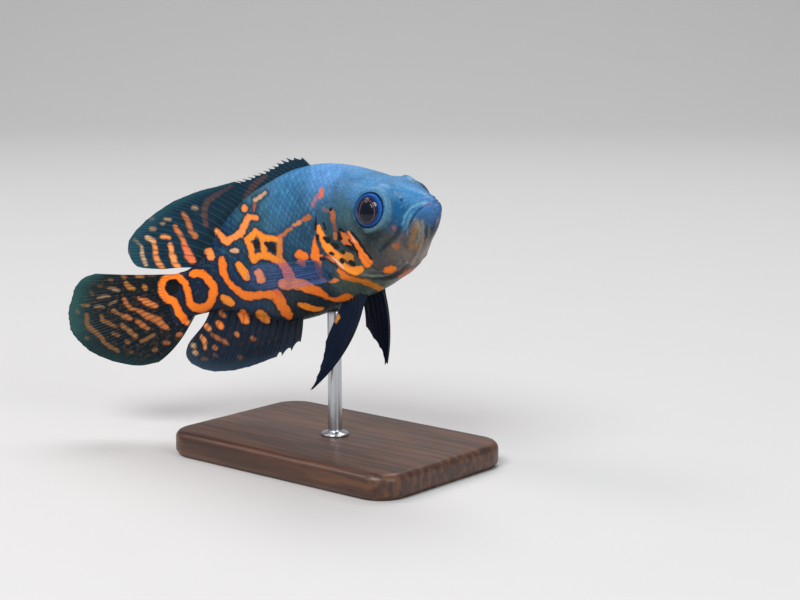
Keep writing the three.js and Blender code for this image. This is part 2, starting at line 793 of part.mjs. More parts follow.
addNode('head', head, 'head');
addNode('lower_jaw', lowerJaw, 'head');
addNode('gill_cover_right', covers.right, 'head');
addNode('gill_cover_left', covers.left, 'head');
addNode('trunk', trunk, 'skin');
addNode('tail_base', tailBase, 'skin');
addNode('eye_right', eyeSolid(RIGHT, 0), 'eye');
addNode('eye_left', eyeSolid(LEFT, 0), 'eye');
addNode('dorsal_fin', dorsalFin, 'fin');
addNode('anal_fin', analFin, 'fin');
addNode('caudal_fin', caudalFin, 'fin');
Object.entries(pairedFins).forEach(([name, solid]) => {
  addNode(name, solid.subtract(clearOfBody), 'fin');
});
addNode('stand_base', standBase, 'wood');
addNode('stand_rod', standRod, 'steel');

export default fish;
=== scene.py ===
import math

import bpy
import numpy as np
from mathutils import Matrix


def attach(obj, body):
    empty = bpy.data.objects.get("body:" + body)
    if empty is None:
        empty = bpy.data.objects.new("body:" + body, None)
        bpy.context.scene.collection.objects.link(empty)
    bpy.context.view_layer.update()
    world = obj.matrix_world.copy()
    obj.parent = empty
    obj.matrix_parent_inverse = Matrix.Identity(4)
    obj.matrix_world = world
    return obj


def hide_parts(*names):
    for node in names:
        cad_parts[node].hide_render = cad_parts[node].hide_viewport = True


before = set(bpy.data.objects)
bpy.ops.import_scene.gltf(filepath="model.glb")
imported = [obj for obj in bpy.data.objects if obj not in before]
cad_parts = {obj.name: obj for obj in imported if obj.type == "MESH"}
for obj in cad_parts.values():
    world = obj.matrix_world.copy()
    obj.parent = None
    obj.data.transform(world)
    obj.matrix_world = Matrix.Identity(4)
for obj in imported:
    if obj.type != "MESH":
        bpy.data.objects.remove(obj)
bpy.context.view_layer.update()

# The view. A long lens looks at the fish from its right front and a little above, as the
# photograph does. Sizes below are in millimetres, and a picture is 800 pixels wide and 600 high.
MM = 0.001
CAMERA_PLACE = (485.47, -538.75, 191.65)
CAMERA_TURN = 40
CAMERA_DOWN = 10
LENS = 85
SENSOR = 36
PICTURE_WIDTH = 800
PICTURE_HEIGHT = 600

camera_data = bpy.data.cameras.new("view")
camera_data.lens = LENS
camera_data.sensor_width = SENSOR
camera_data.clip_start = 0.01
camera_data.clip_end = 20
camera = bpy.data.objects.new("view", camera_data)
camera.location = [value * MM for value in CAMERA_PLACE]
camera.rotation_euler = (math.radians(90 - CAMERA_DOWN), 0, math.radians(CAMERA_TURN))
bpy.context.scene.collection.objects.link(camera)
bpy.context.scene.camera = camera

turn, down = math.radians(CAMERA_TURN), math.radians(CAMERA_DOWN)
view_right = np.array([math.cos(turn), math.sin(turn), 0])
view_ahead = np.array([-math.sin(turn) * math.cos(down), math.cos(turn) * math.cos(down), -math.sin(down)])
view_up = np.cross(view_right, view_ahead)


def seen_at(points):
    """Where points of the model lie in the picture, in pixels."""
    away = points - np.array(CAMERA_PLACE)
    depth = away @ view_ahead
    zoom = LENS / SENSOR * PICTURE_WIDTH
    return np.stack(
        [PICTURE_WIDTH / 2 + zoom * (away @ view_right) / depth,
         PICTURE_HEIGHT / 2 - zoom * (away @ view_up) / depth], -1)


# The skin. A young oscar's thick wet skin over its whole body: smooth on the head, scaled behind it,
# with a lipped mouth, raised gill covers and eye sockets. It is one surface over a bent backbone.
# First the straight fish: s runs from snout to tail, y to its left, z to its back.
BODY_STATIONS = [
    # distance from the snout, back, belly, half width
    (1.4, 1.4, -1.6, 1.2),
    (2.6, 3.4, -2.9, 2.3),
    (6, 6.9, -5.7, 4.2),
    (10.5, 9.8, -9.0, 6.5),
    (17, 13.0, -13.4, 9.3),
    (26, 17.0, -17.6, 11.9),
    (36, 21.4, -20.4, 13.5),
    (48, 26.0, -22.8, 14.4),
    (62, 29.6, -24.2, 14.5),
    (76, 30.8, -25.4, 14.1),
    (90, 29.6, -26.4, 13.2),
    (104, 27.2, -25.6, 11.5),
    (118, 22.0, -21.0, 9.0),
    (129, 15.2, -16.4, 6.8),
    (138, 9.0, -13.2, 5.0),
    (145, 6.5, -12.4, 4.1),
    (150, 6.4, -12.2, 3.2),
    (153, 6.4, -12.7, 2.2),
    (156.5, 6.4, -13.6, 1.2),
    (160, 6.2, -14.4, 0.35),
]
SNOUT = 1.4
SKIN_END = 159.5
WIDEST_LEVEL = 0.47
SECTION_POWER = 2.15
TURN_STATIONS = [(0, 15.7), (52.5, 9.5), (105, -1.0), (150, -23.1), (195, -39.8)]
NOSE_UP = math.radians(18)
BANK = math.radians(7.1)
ROD_STATION = 80
BELLY_HEIGHT = 60
SPINE_STEPS = 230


def smooth_line(points):
    """A smooth line through points of (x, value)."""
    xs, ys = np.array(points, float).T
    index = np.arange(len(xs))
    before, after = np.maximum(index - 1, 0), np.minimum(index + 1, len(xs) - 1)
    slopes = (ys[after] - ys[before]) / (xs[after] - xs[before])

    def at(x):
        x = np.asarray(x, float)
        k = np.clip(np.searchsorted(xs, x) - 1, 0, len(xs) - 2)
        span = xs[k + 1] - xs[k]
        t = np.clip((x - xs[k]) / span, 0, 1)
        return (ys[k] * (2 * t**3 - 3 * t**2 + 1) + slopes[k] * span * (t**3 - 2 * t**2 + t)
                + ys[k + 1] * (3 * t**2 - 2 * t**3) + slopes[k + 1] * span * (t**3 - t**2))
    return at


def rise(x, low, high):
    """0 below low and 1 above high, smooth between."""
    t = np.clip((np.asarray(x, float) - low) / (high - low), 0, 1)
    return t * t * (3 - 2 * t)


def hump(x, width):
    return np.exp(-((x / width) ** 2))


back_line = smooth_line([(s, back) for s, back, belly, width in BODY_STATIONS])
belly_line = smooth_line([(s, belly) for s, back, belly, width in BODY_STATIONS])
half_width = smooth_line([(s, width) for s, back, belly, width in BODY_STATIONS])
turn_at = smooth_line(TURN_STATIONS)
spine_turns = np.radians(turn_at(np.arange(SPINE_STEPS) + 0.5))
spine_x = np.concatenate([[0], -np.cumsum(np.cos(spine_turns))])
spine_y = np.concatenate([[0], np.cumsum(np.sin(spine_turns))])


def bent(s, y, z):
    """Points of the straight fish, bent and tilted about the snout."""
    s, y, z = np.broadcast_arrays(np.asarray(s, float), y, z)
    step = np.clip(np.floor(s), 0, SPINE_STEPS - 1).astype(int)
    share = s - step
    angle = np.radians(turn_at(s))
    x = spine_x[step] * (1 - share) + spine_x[step + 1] * share + y * np.sin(angle)
    across = spine_y[step] * (1 - share) + spine_y[step + 1] * share + y * np.cos(angle)
    side = across * math.cos(BANK) - z * math.sin(BANK)
    height = across * math.sin(BANK) + z * math.cos(BANK)
    return np.stack([x * math.cos(NOSE_UP) - height * math.sin(NOSE_UP), side,
                     x * math.sin(NOSE_UP) + height * math.cos(NOSE_UP)], -1)


rod_top = bent(ROD_STATION, 0, belly_line(ROD_STATION))
to_stand = np.array([-rod_top[0], -rod_top[1], BELLY_HEIGHT - rod_top[2]])


def place(s, y, z):
    return bent(s, y, z) + to_stand


def flank_at(s, z):
    """Half width of the body at one height."""
    back, belly = back_line(s), belly_line(s)
    middle = belly + WIDEST_LEVEL * (back - belly)
    reach = np.where(z > middle, (z - middle) / (back - middle), (middle - z) / (middle - belly))
    return half_width(s) * (1 - np.minimum(np.abs(reach), 1) ** SECTION_POWER) ** (1 / SECTION_POWER)


def curve_through(points, steps):
    """A smooth run of points through given ones, with any further columns carried along."""
    points = np.array(points, float)
    if len(points) < 3:
        share = np.linspace(0, 1, steps * max(len(points) - 1, 1) + 1)[:, None]
        return points[0] + (points[-1] - points[0]) * share
    padded = np.vstack([2 * points[0] - points[1], points, 2 * points[-1] - points[-2]])
    runs = []
    for a, b, c, d in zip(padded, padded[1:], padded[2:], padded[3:]):
        for t in np.arange(steps) / steps:
            runs.append(0.5 * (2 * b + (c - a) * t + (2 * a - 5 * b + 4 * c - d) * t**2
                               + (3 * b - a - 3 * c + d) * t**3))
    return np.vstack([runs, points[-1:]])


def from_line(x, y, line):
    """Distance of each place from a run of points, and how far along the run its nearest place is."""
    best = np.full(np.shape(x), 1e9)
    along = np.zeros(np.shape(x))
    count = len(line) - 1
    for k, (a, b) in enumerate(zip(line, line[1:])):
        step = b[:2] - a[:2]
        t = np.clip(((x - a[0]) * step[0] + (y - a[1]) * step[1]) / max(step @ step, 1e-9), 0, 1)
        away = np.hypot(x - a[0] - t * step[0], y - a[1] - t * step[1])
        closer = away < best
        best = np.where(closer, away, best)
        along = np.where(closer, (k + t) / count, along)
    return best, along


def inside_line(x, y, line):
    """Which places lie inside a closed run of points."""
    odd = np.zeros(np.shape(x), bool)
    for a, b in zip(line, np.roll(line, -1, axis=0)):
        crosses = (a[1] > y) != (b[1] > y)
        with np.errstate(divide="ignore", invalid="ignore"):
            odd ^= crosses & (x < (b[0] - a[0]) * (y - a[1]) / (b[1] - a[1]) + a[0])
    return odd


# The skin's grid of rings, finest on the head
AROUND = 352
NOSE_RINGS = 7
NOSE_DEPTH = 0.55
NOSE_ANGLES = (86, 8)
HEAD_STEP = 0.3
STEP_GAIN = 0.2
GAINING = (30, 70)
stations, s = [], SNOUT
while s < SKIN_END:
    stations.append(s)
    s += HEAD_STEP + STEP_GAIN * float(rise(s, *GAINING))
nose_angles = np.radians(np.linspace(*NOSE_ANGLES, NOSE_RINGS))
stations = np.concatenate([SNOUT - NOSE_DEPTH * np.sin(nose_angles), stations])
shrink = np.ones(len(stations))
shrink[:NOSE_RINGS] = np.cos(nose_angles)
angles = np.arange(AROUND) * 2 * math.pi / AROUND
across = np.sign(np.cos(angles)) * np.abs(np.cos(angles)) ** (2 / SECTION_POWER)
upward = np.sign(np.sin(angles)) * np.abs(np.sin(angles)) ** (2 / SECTION_POWER)
ring_back, ring_belly = back_line(stations), belly_line(stations)
ring_middle = ring_belly + WIDEST_LEVEL * (ring_back - ring_belly)
skin_s = np.repeat(stations[:, None], AROUND, 1)
skin_y = across * (half_width(stations) * shrink)[:, None]
skin_z = ring_middle[:, None] + shrink[:, None] * np.where(
    upward > 0, upward * (ring_back - ring_middle)[:, None], upward * (ring_middle - ring_belly)[:, None])
skin_points = place(skin_s, skin_y, skin_z)
skin_side = np.where(skin_y < 0, -1.0, 1.0)


def grid_normals(points, closed):
    lengthways = np.gradient(points, axis=0)
    if closed:
        crossways = np.roll(points, -1, axis=1) - np.roll(points, 1, axis=1)
    else:
        crossways = np.gradient(points, axis=1)
    normals = np.cross(crossways, lengthways)
    return normals / np.maximum(np.linalg.norm(normals, axis=-1, keepdims=True), 1e-9)


skin_normals = grid_normals(skin_points, True)
ring_centres = place(stations, 0, ring_middle)[:, None]
if np.sum(skin_normals * (skin_points - ring_centres)) < 0:
    skin_normals = -skin_normals

# Relief of the gill covers, lips and folds of the head
COVER_FRONT = [(35.6, -16.4), (36.2, -13.6), (37.2, -9), (38.6, -3), (40, 3), (41.6, 9), (44, 13.6)]
COVER_REAR = [(44, 13.6), (50, 14), (54.6, 11.6), (57.8, 7.4), (59.2, 2.4), (58, -2.2), (54.6, -6.6),
              (50.8, -10.6), (46.4, -14.4), (40.6, -17.6), (35.6, -16.4)]
COVER_LIFT = 0.9
# distance outside the edge, half width, height
COVER_REAR_EDGES = [(0.75, 0.6, -0.4), (-1.1, 0.6, 0.16)]
COVER_FRONT_EDGES = [(0, 0.55, -0.22), (1.6, 0.9, 0.14)]
HEAD_END = [(46, 40), (46.4, 20), (52, 8), (54, 2), (53, -4), (48, -12), (43, -20), (42, -40)]
MOUTH_LINE = [(-4, 2.6), (1, 2.6), (3, 2.7), (4.6, 2.5), (6.2, 2), (7.8, 1), (9.4, -0.3), (11.6, -2.3),
              (13.6, -4.4)]
CHEEK_FOLD = [(15.0, -2.4), (18.5, -4.8), (23, -6.6), (27.2, -8.2)]
JAW_FOLD = [(13.8, -4.6), (16, -7.2), (20.5, -10.5), (24, -14.5), (26, -20)]
LIP_FOLD = [(2.4, 4.2), (4.4, 3.7), (7.2, 3.9), (9.9, 3.5), (11.6, 2.0), (13.4, 0.0), (14.9, -2.2),
            (15.4, -4.2)]
THROAT_FOLD = [(49.5, -13.6), (43, -16.9), (36.2, -18.3), (29, -17.4), (25.4, -16.2)]
FOLDS = [
    # run, depth, half width
    (CHEEK_FOLD, 0.3, 0.6), (JAW_FOLD, 0.28, 0.55), (LIP_FOLD, 0.34, 0.45), (THROAT_FOLD, 0.5, 0.55),
]
JAW_HOLLOW = dict(s=17, slope=0.63, length=6.5, height=3.2, depth=1.6)
NOSTRIL = (12.9, 7.3)
LIP_CORNER = 13.4
LIP_FADES = (-1.4, 0.9)
MOUTH_GROOVE = dict(depth=0.38, half_width=0.28)
NOSTRIL_EDGE = dict(radius=1.15, height=0.42, half_width=0.4)
NOSTRIL_HOLE = (0.35, 0.85)
UPPER_LIP = [(0, 1.0, 0.9), (0.45, 1.7, 1.5), (0.75, 1.8, 1.6), (1, 1.1, 0.9)]
LOWER_LIP = [(0, 2.2, 2.1), (0.3, 1.9, 1.85), (0.6, 1.3, 1.25), (1, 0.9, 0.8)]

relief = np.zeros_like(skin_s)
cover_front = curve_through(COVER_FRONT, 4)
cover_rear = curve_through(COVER_REAR, 4)
cover_outline = np.vstack([cover_front, cover_rear[1:]])
from_cover = from_line(skin_s, skin_z, cover_rear)[0]
in_cover = inside_line(skin_s, skin_z, cover_outline)
from_cover = np.where(in_cover, -from_cover, from_cover)
cover_back = rise(skin_s, 42, 47)
relief += COVER_LIFT * rise(skin_s, 36, 58) * (1 - rise(from_cover, -0.15, 0.45))
for outside, width, height in COVER_REAR_EDGES:
    relief += height * hump(from_cover - outside, width) * cover_back
for outside, width, height in COVER_FRONT_EDGES:
    relief += height * hump(from_line(skin_s + outside, skin_z, cover_front)[0], width)
for fold, depth, width in FOLDS:
    away, along = from_line(skin_s, skin_z, curve_through(fold, 4))
    relief -= depth * hump(away, width) * rise(along, 0, 0.12) * (1 - 0.6 * rise(along, 0.8, 1))
    relief += 0.45 * depth * hump(away - 1.2, 0.8)
relief -= JAW_HOLLOW["depth"] * hump(skin_s - JAW_HOLLOW["s"], JAW_HOLLOW["length"]) * hump(
    skin_z + JAW_HOLLOW["slope"] * skin_s, JAW_HOLLOW["height"])

mouth_away = from_line(skin_s, skin_z, curve_through(MOUTH_LINE, 5))[0]
mouth_level = smooth_line(MOUTH_LINE)
above_mouth = np.where(skin_z > mouth_level(skin_s), mouth_away, -mouth_away)
lip_share = np.clip((skin_s - 2) / (LIP_CORNER - 2), 0, 1) ** (1 / 1.7)
lip_fade = 1 - rise(skin_s, LIP_CORNER + LIP_FADES[0], LIP_CORNER + LIP_FADES[1])
for lip, away, height in ((UPPER_LIP, above_mouth, 0.75), (LOWER_LIP, -above_mouth, 0.8)):
    breadth = smooth_line([(share, apart + wide) for share, apart, wide in lip])(lip_share)
    t = np.clip(away / breadth, 0, 1)
    relief += height * lip_fade * 1.5 * t**0.4 * (1 - t**1.6) ** 1.2
relief -= MOUTH_GROOVE["depth"] * hump(mouth_away, MOUTH_GROOVE["half_width"]) * lip_fade
from_nostril = np.sqrt((skin_s - NOSTRIL[0]) ** 2 + (skin_z - NOSTRIL[1]) ** 2
                       + (np.abs(skin_y) - flank_at(*NOSTRIL)) ** 2)
relief += NOSTRIL_EDGE["height"] * hump(from_nostril - NOSTRIL_EDGE["radius"], NOSTRIL_EDGE["half_width"])
relief -= 1 - rise(from_nostril, *NOSTRIL_HOLE)

# Scales lie in staggered rows, each over the front of the one behind it. Their round rear edges show.
SCALE_LENGTH = 3.2
SCALE_ROWS = 38
SCALE_REACH = 0.88
SCALE_HEIGHT = 0.09
SCALE_SIZES = [(0, 0.6), (40, 0.8), (70, 1.0), (110, 0.95), (135, 0.75), (160, 0.6)]
girth = np.concatenate([np.zeros((len(stations), 1)), np.cumsum(
    np.linalg.norm(np.diff(skin_points, axis=1), axis=-1), axis=1)], 1)
from_back = np.abs(girth - girth[:, AROUND // 4, None])
scale_across = SCALE_ROWS * 2 * np.minimum(from_back, girth[:, -1:] - from_back) / girth[:, -1:]
scale_size = smooth_line(SCALE_SIZES)(stations)
scale_along = np.repeat(np.cumsum(np.gradient(stations) / (SCALE_LENGTH * scale_size))[:, None], AROUND, 1)
scale_front = np.full(skin_s.shape, 1e9)
under_edge = np.zeros_like(skin_s)
for odd in (0, 1):
    sideways = (scale_across - odd) / 2
    off = 2 * (sideways - np.round(sideways))
    reach = SCALE_REACH * np.sqrt(np.maximum(0, 1 - off**2))
    column = np.ceil(scale_along - odd / 2 - reach) + odd / 2
    wins = column < scale_front
    under_edge = np.where(wins, column + reach - scale_along, under_edge)
    scale_front = np.where(wins, column, scale_front)
head_end = curve_through(HEAD_END, 4)
behind_head = np.where(skin_s > np.interp(-skin_z, -head_end[:, 1], head_end[:, 0]), 1, -1)
from_head_end = from_line(skin_s, skin_z, head_end)[0] * behind_head
scaly = np.maximum(rise(from_head_end, -4, 3) * rise(from_cover, 0.4, 1.4), 0.14 * in_cover)
scaly = np.maximum(scaly, 0.3 * hump(skin_s - 33, 6) * hump(skin_z + 6, 9)) * (1 - rise(skin_s, 150, 158))
relief += SCALE_HEIGHT * scaly * (1 - under_edge)
near_tip = rise(skin_s, 0.9, 3.0)
skin_points = skin_points + skin_normals * (relief * (0.35 + 0.65 * near_tip))[..., None]

# Eye sockets: a low mound and a rim round each eye, and the hollow that the eye sits in
EYE_PLACE = (25.8, 7.0)
EYE_RADIUS = 6.4
EYE_DEPTH = 3.9
EYE_SUNK = -0.5
EYE_FORWARD = math.tan(math.radians(4))
EYE_UPWARD = math.tan(math.radians(4))
MOUND = dict(radius=10.6, height=7.2, sunk=5.0, raised=0.5, soft=1.4)
RIM = dict(radius=7.5, half_width=1.3, height=1.1, sunk=-0.6, soft=0.5)
SOCKET = dict(reach=14, behind=9, fade=(9.5, 12.5), hollow=4.5, edge=0.25)


def unit(vector):
    return vector / np.linalg.norm(vector)


def eye_axes(side):
    """The place of an eye on the flank, and the directions tailward, up and out of it."""
    s, z = EYE_PLACE

    def at(s, z):
        return place(s, side * flank_at(s, z), z)

    tailward = unit(at(s + 0.2, z) - at(s - 0.2, z))
    upward = unit(at(s, z + 0.2) - at(s, z - 0.2))
    outward = unit(np.cross(tailward, upward) * side)
    facing = unit(outward - tailward * EYE_FORWARD + upward * EYE_UPWARD)
    along = unit(tailward - facing * (tailward @ facing))
    up = np.cross(facing, along)
    return at(s, z), along, up * np.sign(up[2]), facing


for side in (-1, 1):
    centre, along, up, facing = eye_axes(side)
    away = skin_points - centre
    across_eye, above_eye, height = away @ along, away @ up, away @ facing
    far = np.hypot(across_eye, above_eye)
    near = (skin_side == side) & (far < SOCKET["reach"]) & (height > -SOCKET["behind"])
    target = height
    for form, out in ((MOUND, np.hypot(across_eye, above_eye - MOUND["raised"]) / MOUND["radius"]),
                      (RIM, np.abs(far - RIM["radius"]) / RIM["half_width"])):
        level = form["height"] * np.sqrt(np.maximum(0, 1 - out**2)) - form["sunk"]
        raised = 0.5 * (target + level + np.sqrt((target - level) ** 2 + form["soft"] ** 2))
        target = np.where(out < 1, raised, target)
    target = height + (target - height) * (1 - rise(far, *SOCKET["fade"]))
    hollow = SOCKET["hollow"] * (1 - rise(far, EYE_RADIUS - SOCKET["edge"], EYE_RADIUS + SOCKET["edge"]))
    target = np.where(far < RIM["radius"], target - hollow, target)
    skin_points = np.where(near[..., None], skin_points + (target - height)[..., None] * facing, skin_points)

# The markings, listed as strokes of (x, y, half width) in pixels on the picture. The orange
# shows in the skin and in the fins alike, as pigment does.
ORANGE, AMBER, CREAM, PEACH, ROSE, RUST = "#ff7c1a", "#ff9428", "#e8c79c", "#ff9850", "#dd6c55", "#a0522c"
OCHRE, RED, EMBER, BRONZE, OLIVE = "#b8731c", "#e8603a", "#c4642c", "#5e401e", "#4c4622"
BODY_MARKS = [
    # the ring round the eye spot and the loop joined to it
    (ORANGE, 1, [(192.5, 273.8, 3.6), (201.3, 273.8, 4), (208.8, 280, 4), (213.5, 287.5, 4.2),
        (212.5, 296.3, 4.2), (208.8, 304.5, 4.2), (200, 308.3, 4.2), (192, 305.5, 3.8),
        (189, 298.5, 3.4), (187.5, 290, 3.2), (182.5, 280, 3.6), (175, 276, 3.6), (167, 277, 3.4),
        (162, 283, 3.4), (162, 291.3, 3.6), (166.3, 298, 4), (173, 301, 4), (176.5, 306, 3.8),
        (179, 312.5, 3.8), (183.8, 319, 4), (186.5, 322, 3.4)]),
    (PEACH, 1, [(209.5, 251, 3.8), (211, 257, 4)]),
    (PEACH, 1, [(217.5, 230, 2.4), (222.5, 237.5, 3.2), (227.5, 241.6, 4), (232.5, 237.8, 3),
        (240, 233.8, 3.8), (245, 224.8, 3.6), (249.5, 217.6, 3.2), (256.9, 217.8, 2.2)]),
    (PEACH, 0.95, [(244.4, 206.6, 2.4), (244.6, 209.6, 2.6)]),
    (CREAM, 0.7, [(255.6, 200.4, 2.4), (258.6, 198.2, 2.2), (262.5, 194.8, 1.7),
        (265.6, 192.3, 1.6)]),
    (ROSE, 0.4, [(254.6, 205, 1.7), (254.2, 211, 1.3)]),
    (CREAM, 0.85, [(231.5, 250.4, 2.2), (235.4, 250.6, 2.5), (238.4, 251.2, 1.6)]),
    (ORANGE, 1, [(222.3, 260.6, 3.9), (223.1, 270, 3.8), (226.3, 278.8, 2.8), (231.3, 285, 3.2),
        (237.5, 290, 3.2), (245, 295, 4.2), (252.5, 296.3, 4), (262.5, 294.6, 3.8),
        (271.3, 294.6, 4.4), (278.3, 298, 5.4), (282.5, 306.3, 5.6), (288.4, 315, 4.4)]),
    (RED, 0.9, [(276, 291.5, 3), (279, 296, 4)]),
    (AMBER, 1, [(238.6, 264.6, 3.4), (242.4, 270.4, 4.2), (246.3, 276.6, 3.8)]),
    (PEACH, 1, [(258.6, 272.6, 3.8), (261.2, 279, 4.2)]),
    (AMBER, 1, [(223.6, 298, 3.2), (227.6, 300.4, 4.2), (231.6, 303, 3.4)]),
    (ORANGE, 1, [(243, 313.6, 4), (245, 318, 4.8), (247, 321, 3.4)]),
    (AMBER, 1, [(259, 312.8, 3.2), (263.4, 316, 4.2), (268, 320, 3.6)]),
    (RUST, 0.85, [(222, 312.6, 2.8), (224, 315, 3)]),
    # the net on the flank, round two dark holes
    (AMBER, 1, [(255.8, 231.5, 3), (251.5, 236.4, 3.6), (247.4, 240.4, 3), (250.4, 246.4, 3.2),
        (252.2, 254, 3.6), (253.8, 260, 3.6)]),
    (AMBER, 1, [(256.3, 232.3, 3), (263.6, 237.2, 3.3), (271, 238.2, 2.9), (277.5, 239.4, 3.2)]),
    (AMBER, 1, [(262.4, 238.6, 2.8), (263.4, 247, 2.6), (264.6, 254.6, 3.4)]),
    (AMBER, 0.7, [(279.4, 239.6, 3), (280, 248, 3), (279.4, 257.4, 3.6)]),
    (AMBER, 1, [(253.8, 259.2, 3.8), (259.4, 256.4, 3.6), (266, 256, 3.8), (273, 258, 3.8),
        (281, 262, 4.4)]),
    (ROSE, 1, [(281, 262, 4.4), (286, 269, 4.8), (290, 277, 5.4), (289, 284, 6)]),
    (PEACH, 1, [(283, 284, 5), (294, 283, 5.6), (303, 285.4, 5.6)]),
    (ORANGE, 1, [(300, 284.4, 5.4), (309, 287.6, 5.4), (317.6, 291, 4.4), (325, 296, 2.6),
        (331, 298.8, 1.8), (338, 299.6, 2.2), (344, 297.4, 3.4), (350, 297.4, 3.4),
        (354, 299, 2.4)]),
    (AMBER, 1, [(299.6, 304.2, 2.4), (306, 306.6, 3), (314, 308.6, 2.7), (322, 308.8, 1.9)]),
    # the chain that climbs from the net toward the nape
    (ROSE, 0.7, [(279.6, 237, 1.6), (283.6, 234.4, 1.8)]),
    (OCHRE, 0.75, [(285.6, 232.6, 1.8), (291, 228.4, 2)]),
    (PEACH, 0.7, [(294.6, 225.4, 1.9), (300, 221.8, 2.2)]),
    (RUST, 0.95, [(304.6, 219.4, 2.2), (308.2, 217.2, 2.8)]),
    (ROSE, 0.35, [(312.6, 206.4, 1.6), (314.2, 201, 2.2), (316.6, 197, 2.2)]),
    (RED, 0.85, [(321.2, 189.6, 1.9), (321.2, 194, 2.7), (319.8, 197.4, 1.6)]),
    (ORANGE, 1, [(299.4, 254.4, 4.2), (304, 256.2, 4.6)]),
    (ROSE, 0.45, [(299, 262, 2.6), (304, 264, 2.4)]),
    (ORANGE, 1, [(315.2, 237.2, 2.2), (315.8, 244, 3), (315.2, 251, 4), (316.6, 257.6, 5),
        (321, 257.4, 3)]),
    (ROSE, 0.6, [(317.6, 264, 3.6), (319.6, 271, 3.4), (322.6, 278, 2.4), (325, 280.4, 1.6)]),
    (PEACH, 0.9, [(330.4, 281.6, 1.9), (333.6, 280.6, 2.6), (337.6, 280.4, 1.7)]),
    (RUST, 0.95, [(327, 257.2, 2), (334, 258.6, 2.2)]),
    # gill cover and cheek
    (AMBER, 1, [(319.8, 225.4, 1.8), (321.4, 231, 3.2), (324.6, 238, 3.8), (329, 246.4, 4),
        (334.6, 252.6, 4.2), (339.6, 257.4, 4.2)]),
    (RED, 0.85, [(331, 258.4, 2.4), (335.4, 258.6, 3)]),
    (AMBER, 1, [(339, 258, 3.2), (343.4, 264.4, 3.6), (349, 269.6, 4.2), (355.6, 270.4, 4.6),
        (361, 269.4, 3.4)]),
    (OCHRE, 1, [(344.6, 254, 3.2), (349, 256.6, 4), (352, 259.6, 2.8)]),
    (EMBER, 0.95, [(341.6, 233.4, 2.6), (344.6, 238, 4.2), (349, 243, 3.4)]),
    (RUST, 0.85, [(332.4, 210.6, 2.1), (333.8, 216, 2.6), (334, 221, 2.1)]),
    (RUST, 0.35, [(334, 221, 2), (336.2, 229.4, 1.3)]),
    (OCHRE, 0.6, [(335.6, 233, 2), (336.6, 238, 1.8)]),
    (RUST, 0.25, [(325, 209, 2), (328, 211, 1.7)]),
    (ORANGE, 0.95, [(348.4, 232.4, 1.1), (353, 239.4, 2.1), (357.6, 247, 2.8), (362.4, 255, 3.8),
        (367.6, 262.6, 4.9)]),
    (ORANGE, 0.9, [(339.6, 270.4, 2.6), (344, 275.6, 3.6), (350, 278, 3)]),
    (OCHRE, 1, [(350, 278, 3), (356, 279.6, 2.6), (362.6, 281.2, 2.4), (372, 284.4, 3),
        (380.4, 289, 2.8)]),
    (ORANGE, 0.9, [(386.6, 269.8, 3), (390.4, 269.2, 3.7), (394, 268.8, 2.6)]),
    (EMBER, 0.6, [(399.6, 276.8, 1.8), (405, 273.6, 2.4), (410, 269.8, 1.6)]),
    (RUST, 0.3, [(393.8, 227, 2.4), (394.6, 228.8, 2.4)]),
    (RUST, 0.5, [(395, 245.8, 3), (396.4, 247.2, 3)]),
]
DARK_MARKS = [
    [(173.6, 284.6, 5.6), (172.2, 289, 5.8)],
    [(256.4, 241.6, 2), (257, 246.6, 3)],
    [(266.2, 243.4, 1.8), (271, 246.4, 3), (274.6, 250.6, 1.9)],
    [(318.4, 218, 0.9), (317, 224, 1.5), (317.6, 229, 1.1)],
    [(331.6, 209.6, 1.2), (332.2, 208.8, 1.2)],
    [(326.4, 237.4, 1.8), (329.4, 240, 2.5)],
    [(333.6, 243.6, 1.4), (336.6, 245.4, 1.9), (339, 247.6, 1.2)],
    [(339.6, 233.4, 1.4), (340.6, 238, 2.2)],
    [(340.6, 229.4, 1.5), (344, 231.4, 1.2)],
    [(343.4, 251.4, 1.5), (344.4, 252.4, 1.5)],
    [(342.4, 259.2, 1.5), (343.8, 261.4, 1.5)],
    [(351.4, 261.6, 2.2), (353.8, 263.8, 2.2)],
    [(332.4, 252.6, 1.4), (334, 253.6, 1.2)],
    [(319.2, 235.6, 1.3), (320.4, 238.4, 1.2)],
    [(321.4, 258.6, 1.6), (325.6, 259.4, 1.1)],
    [(346.6, 245.4, 0.9), (350.6, 247.6, 1.4), (354.6, 251, 0.9)],
    [(352, 232.6, 0.9), (357, 238.4, 1.4), (361.6, 245.4, 1.1), (366, 251.6, 1.1),
        (371.4, 258.4, 1.2)],
    [(349.6, 240, 0.8), (354.4, 247.6, 0.9), (358.4, 255.6, 0.8)],
    [(325, 222.6, 0.9), (326.4, 228.6, 1.1)],
]
